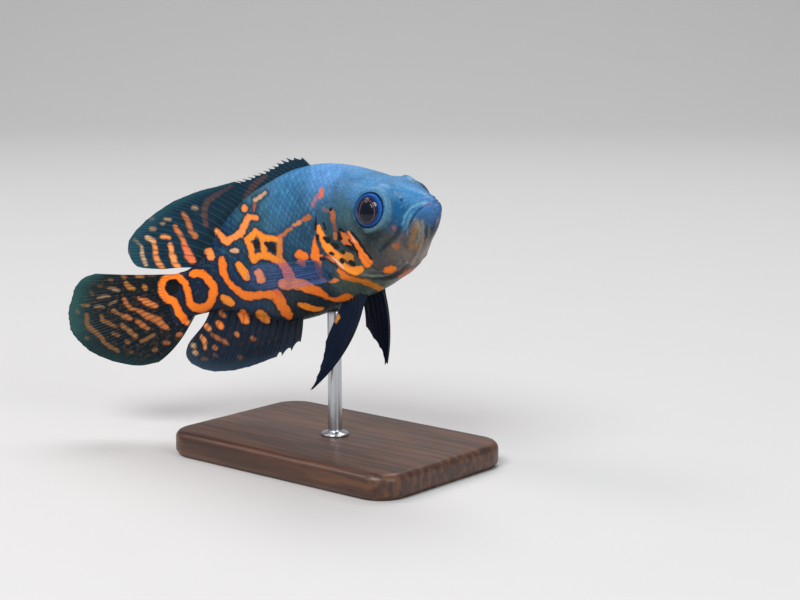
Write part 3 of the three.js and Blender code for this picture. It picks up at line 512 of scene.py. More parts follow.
SOFT_TINTS_AND_PAINTED_LIGHT = [
    # colour, strength, softness in pixels, stroke: tints and lines that fade out, among them painted
    # highlights and painted shade
    ("#03507e", 0.78, 5.0, [(390.6, 214, 1), (395.6, 207, 2), (401, 211, 1)]),
    ("#0c2438", 0.6, 2.6, [(391, 218, 0.6), (389.6, 225, 0.8)]),
    ("#2672ae", 0.4, 6.0, [(405, 199, 2), (414, 195, 3), (422, 192, 2)]),
    ("#2c3238", 0.5, 3.0, [(404, 241, 0.8), (405.4, 248, 1)]),
    # painted shade under the eye
    ("#2a3432", 0.55, 4.5, [(362, 233, 2), (370, 236, 2.4), (379, 238, 2)]),
    ("#47605f", 0.45, 5.0, [(349, 214, 2), (352, 226, 2.5), (358, 236, 2)]),
    ("#3c443e", 0.5, 4.0, [(388, 232, 1), (385, 240, 2), (378, 250, 2)]),
    ("#6f97a4", 0.42, 2.4, [(380, 190.6, 0.6), (387, 198, 0.9), (389.4, 208, 1), (388, 218, 1.2),
        (382.4, 226, 1.6), (373, 230.6, 1.4)]),
    ("#5f93b4", 0.4, 1.8, [(358.6, 195, 0.5), (362.6, 191, 0.6), (369, 188.8, 0.7),
        (377, 189, 0.5)]),
    ("#184f6c", 0.5, 1.2, [(391.6, 200, 0.4), (393.6, 211, 0.5), (391.6, 221, 0.5),
        (385, 231, 0.4)]),
    ("#3c86b4", 0.5, 2.0, [(413, 210.6, 1), (406.6, 218, 1.8), (403.8, 227, 1.6)]),
    # painted highlight along the lower edge of the upper lip
    ("#7fc4e2", 0.6, 0.9, [(426, 203, 0.2), (420, 203.8, 0.3), (413.6, 206.2, 0.4),
        (408.6, 210.4, 0.4), (405, 216.4, 0.3), (402.8, 223.6, 0.2)]),
    ("#a58fb0", 0.4, 0.7, [(423.6, 205.8, 0.2), (428, 204.4, 0.4), (431.6, 203.4, 0.2)]),
    ("#44689c", 0.45, 3.2, [(434, 209, 2), (433, 215, 3), (430, 221, 2)]),
    ("#64625a", 0.6, 4.0, [(419, 224, 2), (417, 236, 3), (415, 248, 3)]),
    ("#a87638", 0.6, 2.6, [(415.6, 225, 0.4), (414, 233, 1.2), (411.6, 241, 0.6)]),
    ("#a86c2c", 0.6, 2.0, [(409.6, 247.4, 0.4), (414, 249.6, 1), (417.6, 249.4, 0.5)]),
    ("#8d5a2c", 0.45, 2.0, [(419.6, 240, 1), (420.4, 247, 1)]),
    ("#a9bcbd", 0.32, 0.9, [(411, 215, 0.2), (408.6, 224, 0.4), (407.4, 235, 0.3)]),
    ("#b4b3a2", 0.3, 1.5, [(416, 219, 0.2), (419.4, 229, 0.5), (419.6, 238, 0.4), (417, 246, 0.2)]),
    ("#b2a496", 0.4, 1.1, [(422.6, 221, 0.3), (423, 233, 0.6), (422.4, 246, 0.5), (418, 258, 0.4),
        (412, 265, 0.2)]),
    ("#a09088", 0.32, 1.0, [(429.4, 226, 0.2), (429, 236, 0.4), (426, 248, 0.4), (420, 259, 0.3)]),
    # painted rim light along the far edge of the lips and chin
    ("#cf8f98", 0.5, 1.0, [(438.6, 219, 0.3), (437, 229, 0.5), (434, 240, 0.4)]),
    ("#0b1b26", 0.65, 2.4, [(399.6, 228, 0.5), (396, 236, 1), (388, 243, 0.8), (381.4, 250, 0.5)]),
    ("#99a39c", 0.45, 0.8, [(363, 273.6, 0.2), (374, 275.6, 0.4), (386, 275.4, 0.4),
        (398, 271, 0.4), (408, 263, 0.3)]),
    ("#7f8984", 0.35, 0.8, [(368, 270, 0.2), (380, 271.4, 0.3), (392, 268.6, 0.3),
        (403, 260.6, 0.2)]),
    ("#101518", 0.6, 0.9, [(366, 277.6, 0.3), (380, 279, 0.4), (392, 277.6, 0.3),
        (402, 273.4, 0.2)]),
    ("#5b666c", 0.35, 1.2, [(326, 272, 1), (332, 282, 1), (341, 290, 1)]),
    ("#27466e", 0.5, 5.0, [(262, 268, 4), (285, 272, 5), (310, 272, 5), (328, 270, 3)]),
    ("#8d7f9c", 0.35, 1.2, [(278, 235, 0.8), (282, 238, 1)]),
    ("#8fb6dc", 0.6, 0.9, [(401, 197.6, 0.3), (402, 198, 0.3)]),
    ("#4f6f74", 0.3, 5.0, [(340, 196, 2), (346, 206, 3), (345, 218, 3)]),
    ("#55503c", 0.35, 4.0, [(352, 262, 2), (362, 268, 3), (374, 268, 3)]),
]
# The gill cover's pale rim, and a painted highlight along the top of the cheek stripe
PALE_EDGE_AND_HIGHLIGHT_MARKS = [
    [(333.6, 256.6, 0.4), (338, 260.4, 0.7), (342.4, 264.6, 0.7), (346, 268.6, 0.3)],
    [(349.6, 233.6, 0.2), (353, 239, 0.5), (355.6, 243, 0.3)],
]
DORSAL_MARKS = [
    (CREAM, 0.7, [(141, 245, 1.4), (142.3, 250, 2), (142.9, 256.5, 2.3), (146.3, 264.6, 2)]),
    (CREAM, 0.22, [(134.6, 239.6, 1.6), (138.8, 243.4, 1.8)]),
    (CREAM, 1, [(147, 237.4, 2.2), (152.6, 240, 2.7)]),
    (PEACH, 0.85, [(153.6, 240.6, 2.4), (155.4, 248, 2.6), (156.2, 256.6, 2.9), (159.6, 263.6, 2.9),
        (164, 269.6, 2.2)]),
    (PEACH, 0.95, [(161.6, 236.3, 2), (165.4, 236.5, 2.5), (169.4, 237.4, 1.8)]),
    (PEACH, 1, [(170.6, 244.4, 2.4), (172.2, 253, 2.9), (174.6, 261.6, 3.4), (179, 268.4, 2.7)]),
    (EMBER, 0.95, [(175.4, 226.6, 2.6), (179.4, 233, 2.4), (183.6, 241, 2.6)]),
    (RED, 1, [(183.6, 241, 2.6), (186.4, 249, 3.4), (190, 256.6, 4.5), (192.8, 260.6, 3.6)]),
    (EMBER, 0.75, [(183.6, 213.6, 2.4), (188.4, 221.2, 2.7), (190.8, 229.4, 2.7),
        (196, 236.6, 2.6)]),
    (CREAM, 0.5, [(151.4, 228.8, 2), (155, 228.8, 2)]),
    (CREAM, 0.42, [(165.8, 219.2, 2.2), (169.8, 219.4, 2.2)]),
    (CREAM, 0.4, [(161.6, 223.6, 1.7), (163.6, 224, 1.7)]),
    (CREAM, 0.45, [(194, 207.4, 2.4), (196.6, 207.8, 2.4)]),
    (CREAM, 0.16, [(150.6, 219, 1.7), (153.2, 218.6, 1.7)]),
    (CREAM, 0.16, [(128.6, 251.6, 1.6), (129, 255, 1.6)]),
    (RUST, 0.14, [(266, 176, 2), (254, 186, 3.4), (246, 198, 3)]),
    (RUST, 0.18, [(232, 186, 1.4), (216, 195, 2.4), (207, 203, 3), (204.6, 214, 3.2),
        (206.4, 225, 2.4)]),
]
PIXEL = 0.39
UNMARKED = 9.0
MEETING = 1.2


def shade_of(code):
    """The colour behind a code of two hexadecimal digits for each of red, green and blue."""
    values = [int(code[k:k + 2], 16) / 255 for k in (1, 3, 5)]
    return np.array([v / 12.92 if v <= 0.04045 else ((v + 0.055) / 1.055) ** 2.4 for v in values])


def from_strokes(spots, strokes, values, limit=UNMARKED):
    """Distance in pixels outside the nearest stroke, and the strokes' values, blended where they meet."""
    x, y = spots[..., 0], spots[..., 1]
    wavering = spots + 0.25 * np.stack([np.sin(0.4 * x + 0.6 * y) + np.sin(0.7 * y - 0.5 * x + 2),
                                        np.sin(0.6 * x - 0.35 * y + 4) + np.sin(0.3 * x + 0.8 * y + 1)], -1)
    nearest = np.full(x.shape, limit)
    weights = np.full(x.shape, 1e-9)
    blend = np.zeros(x.shape + (len(values[0]),))
    for stroke, value in zip(strokes, values):
        run = curve_through(stroke, 4)
        low = run[:, :2].min(0) - limit - run[:, 2].max()
        high = run[:, :2].max(0) + limit + run[:, 2].max()
        close = np.nonzero(np.all((wavering > low) & (wavering < high), axis=-1))
        x, y = wavering[close].T
        away = np.full(x.shape, limit)
        for a, b in zip(run, run[1:]):
            step = b[:2] - a[:2]
            t = np.clip(((x - a[0]) * step[0] + (y - a[1]) * step[1]) / max(step @ step, 1e-9), 0, 1)
            away = np.minimum(away, np.hypot(x - a[0] - t * step[0], y - a[1] - t * step[1])
                              - (a[2] + t * (b[2] - a[2])))
        nearest[close] = np.minimum(nearest[close], away)
        weight = np.exp(-away / MEETING)
        weights[close] += weight
        blend[close] += weight[:, None] * value
    return nearest, blend / weights[..., None]


def distance_from(spots, strokes, limit=UNMARKED):
    return from_strokes(spots, strokes, np.zeros((len(strokes), 1)), limit)[0]


def painted(spots, marks):
    """What a finish needs of the markings at each place: distance in millimetres, colour and strength."""
    values = [np.array([*shade_of(colour), 1, strength]) for colour, strength, stroke in marks]
    away, blend = from_strokes(spots, [stroke for colour, strength, stroke in marks], values)
    dark = distance_from(spots, DARK_MARKS)
    return {"mark": np.maximum(away, -dark) * PIXEL, "dark": dark * PIXEL, "mark_colour": blend[..., :4],
            "mark_strength": blend[..., 4]}


# The right side shows the picture's markings; the left has the same kind, shifted and stretched
left = skin_side > 0
wander_s = 8 * np.sin(skin_s / 17 + 1.3) + 3.2 * np.sin(skin_z / 7 + skin_s / 23)
wander_z = 4 * np.sin(skin_s / 13 + 0.6) + 1.4 * np.sin(skin_z / 5)
wander = rise(skin_s, 36, 84) * (1 - rise(skin_s, 116, 142)) * left
skin_spots = seen_at(place(skin_s + wander * wander_s, -np.abs(skin_y), skin_z + wander * wander_z))
skin_fields = painted(skin_spots, BODY_MARKS + DORSAL_MARKS[5:9])
skin_fields["pale"] = distance_from(skin_spots, PALE_EDGE_AND_HIGHLIGHT_MARKS) * PIXEL

# The ground colour under the markings, by region of the fish: place, spread and colour of each
REGIONS = [
    ("forehead", 30, 19, 9, "#4c86b7"),
    ("snout", 10, 9, 6, "#4a91c5"),
    ("snout side", 15, 4, 5, "#023c6c"),
    ("lips", 4, 1, 4, "#3a6ea9"),
    ("chin", 6, -6, 4.5, "#162935"),
    ("throat", 20, -12, 6, "#76665c"),
    ("cheek", 28, -4, 6, "#051104"),
    ("low cheek", 33, -12, 5, "#534649"),
    ("gill cover", 48, -2, 8, "#182c33"),
    ("over the gill cover", 47, 11, 7, "#27474f"),
    ("behind the eye", 37.5, 5, 5.5, "#061e27"),
    ("upper flank", 66, 14, 8, "#143138"),
    ("nape", 52, 26, 9, "#659ede"),
    ("back", 74, 24, 11, "#4387be"),
    ("rear back", 92, 20, 10, "#3d6476"),
    ("front flank", 74, 2, 12, "#034061"),
    ("middle flank", 98, 4, 11, "#053a54"),
    ("breast", 50, -20, 9, "#4f5948"),
    ("belly", 82, -18, 12, "#161b14"),
    ("rear flank", 116, 2, 11, "#022a4f"),
    ("tail root", 138, -3, 12, "#0a102c"),
]
weights = 1e-6 + np.stack([hump(np.hypot(skin_s - s, skin_z - z), spread * 1.15)
                           for region, s, z, spread, code in REGIONS])
ground = np.einsum("krc,kd->rcd", weights / weights.sum(0), [shade_of(region[-1]) for region in REGIONS])
# Soft strokes blended into the ground colour, among them painted highlights and painted shade
for code, strength, blur, stroke in SOFT_TINTS_AND_PAINTED_LIGHT:
    share = strength * hump(np.maximum(distance_from(skin_spots, [stroke], 3 * blur), 0), blur)[..., None]
    ground = ground * (1 - share) + shade_of(code) * share
skin_fields["ground"] = np.concatenate([ground, np.ones(skin_s.shape + (1,))], -1)


def grid_faces(rows, columns, closed, start=0):
    across = columns if closed else columns - 1
    row, column = np.meshgrid(np.arange(rows - 1), np.arange(across), indexing="ij")
    after = (column + 1) % columns
    corners = [row * columns + column, row * columns + after, (row + 1) * columns + after,
               (row + 1) * columns + column]
    return (np.stack([corner.ravel() for corner in corners], -1) + start).tolist()


def closed_ends(rings, sides):
    """Triangles that close the first and last ring of a grid with the two points that follow it."""
    last, tip = (rings - 1) * sides, rings * sides
    faces = []
    for k in range(sides):
        following = (k + 1) % sides
        faces += [[following, k, tip], [last + k, last + following, tip + 1]]
    return faces


def in_a_row(values):
    """A grid of numbers or of colours as one list of them."""
    return values.reshape(-1, values.shape[-1]) if values.ndim == 3 else values.reshape(-1)


def build_piece(name, points, faces, finish, fields=None):
    """A smooth mesh piece from points in millimetres, with values that its finish reads at each point."""
    mesh = bpy.data.meshes.new(name)
    mesh.from_pydata((np.asarray(points) * MM).tolist(), [], faces)
    for field, values in (fields or {}).items():
        values = np.asarray(values, np.float32)
        kind, part = ("FLOAT", "value") if values.ndim == 1 else ("FLOAT_COLOR", "color")
        mesh.attributes.new(field, kind, "POINT").data.foreach_set(part, values.ravel())
    mesh.polygons.foreach_set("use_smooth", [True] * len(mesh.polygons))
    mesh.materials.append(finish.material)
    mesh.validate()
    mesh.update()
    piece = bpy.data.objects.new(name, mesh)
    bpy.context.scene.collection.objects.link(piece)
    return piece


class Shade:
    """A value in a finish. Sums on it become nodes of the finish."""

    def __init__(self, finish, socket):
        self.finish = finish
        self.socket = socket

    def __add__(self, other):
        return self.finish.maths("ADD", self, other)

    def __radd__(self, other):
        return self.finish.maths("ADD", other, self)

    def __sub__(self, other):
        return self.finish.maths("SUBTRACT", self, other)

    def __rsub__(self, other):
        return self.finish.maths("SUBTRACT", other, self)

    def __mul__(self, other):
        return self.finish.maths("MULTIPLY", self, other)

    def __rmul__(self, other):
        return self.finish.maths("MULTIPLY", other, self)

    def __truediv__(self, other):
        return self.finish.maths("DIVIDE", self, other)


class Finish:
    """A material, with one method that adds any node to it."""

    def __init__(self, name):
        self.material = bpy.data.materials.new(name)
        self.material.use_nodes = True
        self.tree = self.material.node_tree
        self.tree.nodes.clear()

    def node(self, kind, settings=None, inputs=None, output=0):
        made = self.tree.nodes.new(kind)
        for name, value in (settings or {}).items():
            if name == "stops":
                ramp = made.color_ramp.elements
                ramp.remove(ramp[1])
                for position, code in value:
                    stop = ramp.new(position) if position else ramp[0]
                    stop.color = (*shade_of(code), 1)
            else:
                setattr(made, name, value)
        for name, value in (inputs or {}).items():
            if isinstance(value, Shade):
                self.tree.links.new(value.socket, made.inputs[name])
            else:
                made.inputs[name].default_value = value
        return None if output is None else Shade(self, made.outputs[output])

    def maths(self, operation, *values):
        return self.node("ShaderNodeMath", {"operation": operation}, dict(enumerate(values)))

    def field(self, name):
        return self.node("ShaderNodeAttribute", {"attribute_name": name}, output="Fac")

    def colour_field(self, name):
        return self.node("ShaderNodeAttribute", {"attribute_name": name}, output="Color")

    def noise(self, size_mm, detail=2.0, stretch=(1, 1, 1)):
        """Cloudy noise from 0 to 1, with features of about this size."""
        place_in = self.node("ShaderNodeTexCoord", output="Object")
        scaled = self.node("ShaderNodeVectorMath", {"operation": "MULTIPLY"}, {0: place_in, 1: stretch})
        return self.node("ShaderNodeTexNoise", None,
                         {"Vector": scaled, "Scale": 1 / (size_mm * MM), "Detail": detail})

    def cells(self, size_mm):
        """Distance from the middles of scattered cells of about this size, in cells."""
        place_in = self.node("ShaderNodeTexCoord", output="Object")
        return self.node("ShaderNodeTexVoronoi", None, {"Vector": place_in, "Scale": 1 / (size_mm * MM)})

    def between(self, value, low, high):
        """0 where the value is below low, 1 above high."""
        return self.node("ShaderNodeMapRange", {"interpolation_type": "SMOOTHSTEP"},
                         {"Value": value, "From Min": low, "From Max": high})

    def mix(self, share, first, second, way="MIX"):
        """A colour part way from the first to the second, each a code or a colour of this finish."""
        inputs = {0: share}
        for socket, colour in ((6, first), (7, second)):
            inputs[socket] = (*shade_of(colour), 1) if isinstance(colour, str) else colour
        return self.node("ShaderNodeMix", {"data_type": "RGBA", "blend_type": way}, inputs, 2)

    def streaks(self, x, y, scale):
        """Cloudy noise from 0 to 1 over two values of the finish."""
        spot = self.node("ShaderNodeCombineXYZ", None, {0: x, 1: y})
        return self.node("ShaderNodeTexNoise", {"noise_dimensions": "2D"},
                         {"Vector": spot, "Scale": scale, "Detail": 3.0})

    def bump(self, height, depth_mm, under=None):
        inputs = {"Height": height, "Distance": depth_mm * MM, "Strength": 1.0}
        if under:
            inputs["Normal"] = under
        return self.node("ShaderNodeBump", None, inputs)

    def close(self, **inputs):
        """Ends the finish with its surface."""
        named = {name.replace("_", " "): value for name, value in inputs.items()}
        surface = self.node("ShaderNodeBsdfPrincipled", None, named)
        self.node("ShaderNodeOutputMaterial", None, {"Surface": surface}, None)
        return self


skin_finish = Finish("oscar_skin")
f = skin_finish
along, across, scaled = f.field("along"), f.field("across"), f.field("scaled")
rows = []
for odd in (0, 1):
    sideways = (across - odd) / 2
    row = f.maths("ROUND", sideways)
    off = (sideways - row) * 2
    reach = f.maths("SQRT", f.maths("MAXIMUM", 1 - off * off, 0)) * SCALE_REACH
    column = f.maths("CEIL", along - odd / 2 - reach) + odd / 2
    rows.append((column, column + reach - along, row + odd / 2))
first = f.maths("LESS_THAN", rows[0][0], rows[1][0])
column, behind, row = (b + first * (a - b) for a, b in zip(*rows))
luck = f.node("ShaderNodeTexWhiteNoise", None,
              {"Vector": f.node("ShaderNodeCombineXYZ", None, {0: column, 1: row})})
scale_rim = (1 - f.between(behind, 0.04, 0.22)) * scaled
scale_crown = f.between(behind, 0.12, 0.4) * (1 - f.between(behind, 0.55, 0.95)) * scaled
grit = f.noise(0.35, 3)
flecks = (1 - f.between(f.cells(0.9), 0.12, 0.42)) * f.between(f.noise(5, 2), 0.42, 0.6)
pores = (1 - f.between(f.cells(1.3), 0.08, 0.3)) * f.between(f.noise(4, 2), 0.5, 0.65)
ragged = ((f.noise(1.4, 3) - 0.5) * 0.8 + (f.noise(0.45, 2) - 0.5) * 0.3
          + (luck - 0.5) * scaled * 0.35)

shade = f.colour_field("ground")
shade = f.mix(f.between(f.noise(7, 4), 0.42, 0.75) * 0.3, shade, "#0a2838")
shade = f.mix(f.between(f.noise(2.6, 3), 0.5, 0.75) * f.field("upper") * 0.25, shade, "#3a8cac")
shade = f.mix(f.between(f.noise(2.1, 4), 0.52, 0.7) * (1 - scaled) * 0.3, shade, "#4b6a6a")
shade = f.mix(scaled * (1 - luck) * 0.22, shade, "#08283c")
# lighter scale centres toward the back: the scales' own pale centres and a painted sheen
shade = f.mix(scale_crown * luck * f.field("upper") * 0.2, shade, "#5aa8c8")
shade = f.mix(scale_rim * (0.1 + f.between(f.noise(8, 2), 0.35, 0.7) * 0.3), shade, "#03101a")
shade = f.mix(f.between(f.noise(0.8, 4), 0.4, 0.7) * (1 - scaled) * 0.3, shade, "#12303c")
shade = f.mix(flecks * 0.45, shade, "#0a1c28")
shade = f.mix(pores * 0.14, shade, "#a7c9d6")
shade = f.mix(f.between(grit, 0.45, 0.8) * 0.3, shade, "#b8d8e2", "SOFT_LIGHT")
near_mark = (1 - f.between(f.field("mark"), 0.1, 1.9)) * f.field("rear")
shade = f.mix(near_mark * 0.6, shade, "#04101c")
mark_shade = f.mix(f.between(grit, 0.35, 0.75) * 0.3, f.colour_field("mark_colour"), "#ffb648")
mark_shade = f.mix(luck * scaled * 0.12, mark_shade, "#ea5a10")
mark_shade = f.mix(scale_rim * 0.18, mark_shade, "#8c3608")
mark_shade = f.mix(f.between(f.field("mark"), -1.0, 0) * 0.35, mark_shade, "#cc5010")
here = (1 - f.between(f.field("mark") + ragged, -0.25, 0.25)) * f.field("mark_strength")
shade = f.mix(here, shade, mark_shade)
shade = f.mix((1 - f.between(f.field("dark") + ragged * 0.8, -0.2, 0.3)) * 0.97, shade, "#010407")
# the gill cover's pale rim and the painted highlight on the cheek stripe
shade = f.mix((1 - f.between(f.field("pale") + ragged * 0.3, -0.12, 0.22)) * 0.7, shade, "#cfd6cf")
# painted shade darkens the creases of the head
shade = f.mix(f.field("fold") * 0.7, shade, "#07141c")
skin_bump = f.bump(grit, 0.04)
skin_bump = f.bump(f.noise(1.3, 2), 0.08, skin_bump)
skin_bump = f.bump((1 - behind) * scaled, 0.1, skin_bump)
f.close(Base_Color=shade, Roughness=0.3 + f.noise(2.2, 3) * 0.2 + scale_rim * 0.15, Normal=skin_bump,
        Specular_IOR_Level=0.13, Coat_Weight=0.09, Coat_Roughness=0.12)

# Painted shade in the creases: darkest in the mouth's groove, just behind the gill cover's rear edge, in the
# nostril holes and along the cheek and throat folds
painted_crease_shade = [hump(mouth_away, 0.35) * lip_fade * (0.2 + 0.2 * rise(skin_s, 4, 10)),
         0.8 * hump(from_cover - 0.8, 0.5) * cover_back * (1 - 0.75 * rise(skin_z, 4, 10)),
         0.4 - 0.4 * rise(from_nostril, 0.3, 0.7)]
for fold, depth in ((CHEEK_FOLD, 0.3), (THROAT_FOLD, 0.5)):
    painted_crease_shade.append(depth * hump(from_line(skin_s, skin_z, curve_through(fold, 4))[0], 0.7))
skin_fields.update(along=scale_along, across=scale_across, scaled=scaly, rear=rise(skin_s, 55, 95),
                   upper=np.clip(0.25 + 0.75 * rise(skin_z, -4, 16), 0, 1), fold=np.max(painted_crease_shade, axis=0))
skin_vertices = np.vstack([skin_points.reshape(-1, 3), place(SNOUT - NOSE_DEPTH, 0, ring_middle[0])[None],
                           skin_points[-1].mean(0)[None]])
skin_faces = grid_faces(len(stations), AROUND, True) + closed_ends(len(stations), AROUND)
for name, values in skin_fields.items():
    values = in_a_row(values)
    skin_fields[name] = np.concatenate([values, values[:1], values[-1:]])
skin = build_piece("skin", skin_vertices, skin_faces, skin_finish, skin_fields)
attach(skin, "root")
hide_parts("head", "lower_jaw", "gill_cover_right", "gill_cover_left", "trunk", "tail_base")

# The dorsal fin. Thin dark web along the back, held up by stiff spines in front and by soft rays
# behind them, which split in two and again toward the edge. Like each fin it grows out of the skin,
# and its spines and rays stand out as ridges.
DORSAL_ROOTS = (66, 141)
DORSAL_TIPS = [
    # root, tip s, tip z
    (66, 70, 34.2), (72, 80, 36.0), (80, 89.5, 34.8), (92, 103, 34.2), (104, 117, 34.6),
    (114, 130, 35.4), (120, 141, 34.9), (125, 150, 33.2), (129, 158.5, 30.2), (133, 166, 25.8),
    (136, 168.2, 20.4), (138.5, 166.4, 14.2), (141, 156, 9.8),
]
FIN_SUNK = 1.6
# how far the branches part and how wide the ridges are, in spaces between two rays
FIRST_FORK, SECOND_FORK = 0.25, 0.115
FIRST_OPENS, SECOND_OPENS = (0.25, 0.8), (0.55, 0.95)
SPINE_RIDGE, RAY_RIDGE = 0.15, 0.115
# least and most that chance changes a ray's length by, and a notch's depth
LENGTH_LUCK = (-0.006, 0.004)
NOTCH_LUCK = (0.6, 1.2)


def along_ray(root, control, tip, v):
    a, b, c = (1 - v) ** 2, 2 * v * (1 - v), v**2
    return [a * r + b * k + c * t for r, k, t in zip(root, control, tip)]


def midline_fin(roots, tips, edge_line, away, lean, wave):
    """The middle surface of a fin of the back or belly: u runs from its front ray to its last, v outward."""
    tip_s = smooth_line([(root, s) for root, s, z in tips])
    tip_z = smooth_line([(root, z) for root, s, z in tips])

    def at(u, v):
        root_s = roots[0] + (roots[1] - roots[0]) * u
        root = [root_s, edge_line(root_s) - away * FIN_SUNK]
        tip = [tip_s(root_s), tip_z(root_s)]
        control = [root[0] + (tip[0] - root[0]) * lean, root[1] + (tip[1] - root[1]) * (0.5 + 0.12 * u)]
        s, z = along_ray(root, control, tip, v)
        return s, wave * v * np.sin(9 * u), z
    return at


def ray_fin(name, node, finish, marks, middle, seed, rays, spines, rows, per_ray, ray, foot,
            notches, web=0.2):
    """Builds a fin on its middle surface: a closed sheet with a ridge along every ray and its branches.

    ray is the height of the ridges at the root and at the tip, foot the height and reach of the
    thickening at the root, notches how deep the edge dips between spines and between soft rays, web
    half the thickness of the skin between them.
    """
    luck = np.random.default_rng(seed)
    columns = (rays - 1) * per_ray + 1
    u = np.linspace(0, 1, columns)[:, None]
    beside = u * (rays - 1)
    v = np.linspace(0, 1, rows)[None]
    soft = (np.round(beside) >= spines) * 1.0
    fork = FIRST_FORK * rise(v, *FIRST_OPENS) * soft
    fork_again = SECOND_FORK * rise(v, *SECOND_OPENS) * soft
    from_ray = np.abs(np.abs(np.abs(beside - np.round(beside)) - fork) - fork_again)
    ridge = hump(from_ray, (SPINE_RIDGE - (SPINE_RIDGE - RAY_RIDGE) * soft) * (1 - 0.4 * v))
    lengths = smooth_line(list(enumerate(1 + luck.uniform(*LENGTH_LUCK, rays))))(beside)
    between_rays = np.abs(np.sin(np.pi * beside))
    notch = np.where(beside < spines - 0.5, *notches)
    notch = notch * smooth_line(list(enumerate(luck.uniform(*NOTCH_LUCK, rays))))(beside)
    v = v * lengths * (1 - notch * between_rays**0.8 * (1 - 0.25 * between_rays))
    u = u + 0 * v
    surface = place(*middle(u, v))
    normals = grid_normals(surface, False)
    thick = (web * (1 - 0.5 * rise(v, 0.8, 1.0)) + (ray[0] + (ray[1] - ray[0]) * v) * ridge
             + foot[0] * hump(v, foot[1]))
    vertices = np.vstack([(surface + sign * normals * thick[..., None]).reshape(-1, 3) for sign in (1, -1)])
    count = columns * rows
    faces = grid_faces(columns, rows, False)
    faces += [face[::-1] for face in grid_faces(columns, rows, False, count)]
    first_column, last_column = list(range(rows)), [count - rows + r for r in range(rows)]
    foot_row, edge_row = [c * rows for c in range(columns)], [c * rows + rows - 1 for c in range(columns)]
    for border in (first_column[::-1], last_column, foot_row, edge_row[::-1]):
        faces += [[b, a, a + count, b + count] for a, b in zip(border, border[1:])]
    fields = dict(beside=beside + 0 * v, reach=v, fork=fork + 0 * v, fork_again=fork_again + 0 * v)
    if marks:
        fields.update(painted(seen_at(surface), marks))
    for field, values in fields.items():
        fields[field] = np.concatenate([in_a_row(values)] * 2)
    piece = build_piece(name, vertices, faces, finish, fields)
    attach(piece, "root")
    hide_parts(node)


def ray_lines(f):
    """1 along the middle of each ray and branch of a fin, 0 on the web between them."""
    from_ray = f.field("beside") - f.maths("ROUND", f.field("beside"))
    for fork in ("fork", "fork_again"):
        from_ray = f.maths("ABSOLUTE", from_ray) - f.field(fork)
    return 1 - f.between(f.maths("ABSOLUTE", from_ray), 0.03, 0.1)


def fin_finish(name, root, web, ray, edge, edge_share=0.3, mottle=0.0, edge_rays=99):
    """Dark webbed fin skin, with the markings broken up by the rays that cross them."""
    f = Finish(name)
    ray_line, reach = ray_lines(f), f.field("reach")
    shade = f.mix(f.between(reach + f.noise(3, 2) * 0.12, 0.06, 0.4), root, web)
    shade = f.mix(f.between(f.noise(4, 3), 0.4, 0.75) * 0.4, shade, "#03080e")
    rim = f.between(reach + f.noise(2.5, 2) * 0.1, 0.8, 1.08)
    rim = rim * (1 - f.between(f.field("beside"), edge_rays, edge_rays + 5) * 0.75)
    shade = f.mix(rim * edge_share, shade, edge)
    spots = f.between(f.noise(1.7, 2), 0.54, 0.62) * f.between(reach, 0.1, 0.3)
    spots = spots * (1 - f.between(reach, 0.75, 0.95))
    shade = f.mix(spots * mottle, shade, "#5a3c20")
    # rays lighter than the web: their own tone and a painted highlight along them
    shade = f.mix(ray_line * 0.25, shade, ray)
    ragged = (f.noise(1.2, 3) - 0.5) * 0.7 + (f.noise(0.4, 2) - 0.5) * 0.3
    mark_shade = f.mix(f.noise(0.9, 2) * 0.4, f.colour_field("mark_colour"), "#ffbe78")
    mark_shade = f.mix(f.between(f.field("mark"), -0.9, 0.1) * 0.5, mark_shade, "#8a4a1c")
    here = (1 - f.between(f.field("mark") + ragged, -0.35, 0.4)) * f.field("mark_strength")
    shade = f.mix(here * (1 - ray_line * 0.45), shade, mark_shade)
    shade = f.mix((1 - f.between(f.field("dark") + ragged * 0.8, -0.2, 0.3)) * 0.92, shade, "#03080e")
    joints = f.maths("SINE", reach * 300)
    return f.close(Base_Color=shade, Roughness=0.38 + f.noise(1.5, 2) * 0.2,
                   Normal=f.bump(ray_line * (1 + joints * 0.3) + f.noise(0.4, 2) * 0.5, 0.07),
                   Specular_IOR_Level=0.13, Coat_Weight=0.05, Coat_Roughness=0.2)


ray_fin("dorsal_fin_piece", "dorsal_fin",
        fin_finish("dorsal_fin_finish", "#04222e", "#062e40", "#123c52", "#2f6a74", 0.4),
        DORSAL_MARKS + BODY_MARKS,
        midline_fin(DORSAL_ROOTS, DORSAL_TIPS, back_line, away=1, lean=0.42, wave=0.7),
        seed=3, rays=30, spines=13, rows=46, per_ray=12,
        ray=(0.5, 0.14), foot=(1.1, 0.09), notches=(0.3, 0.01))

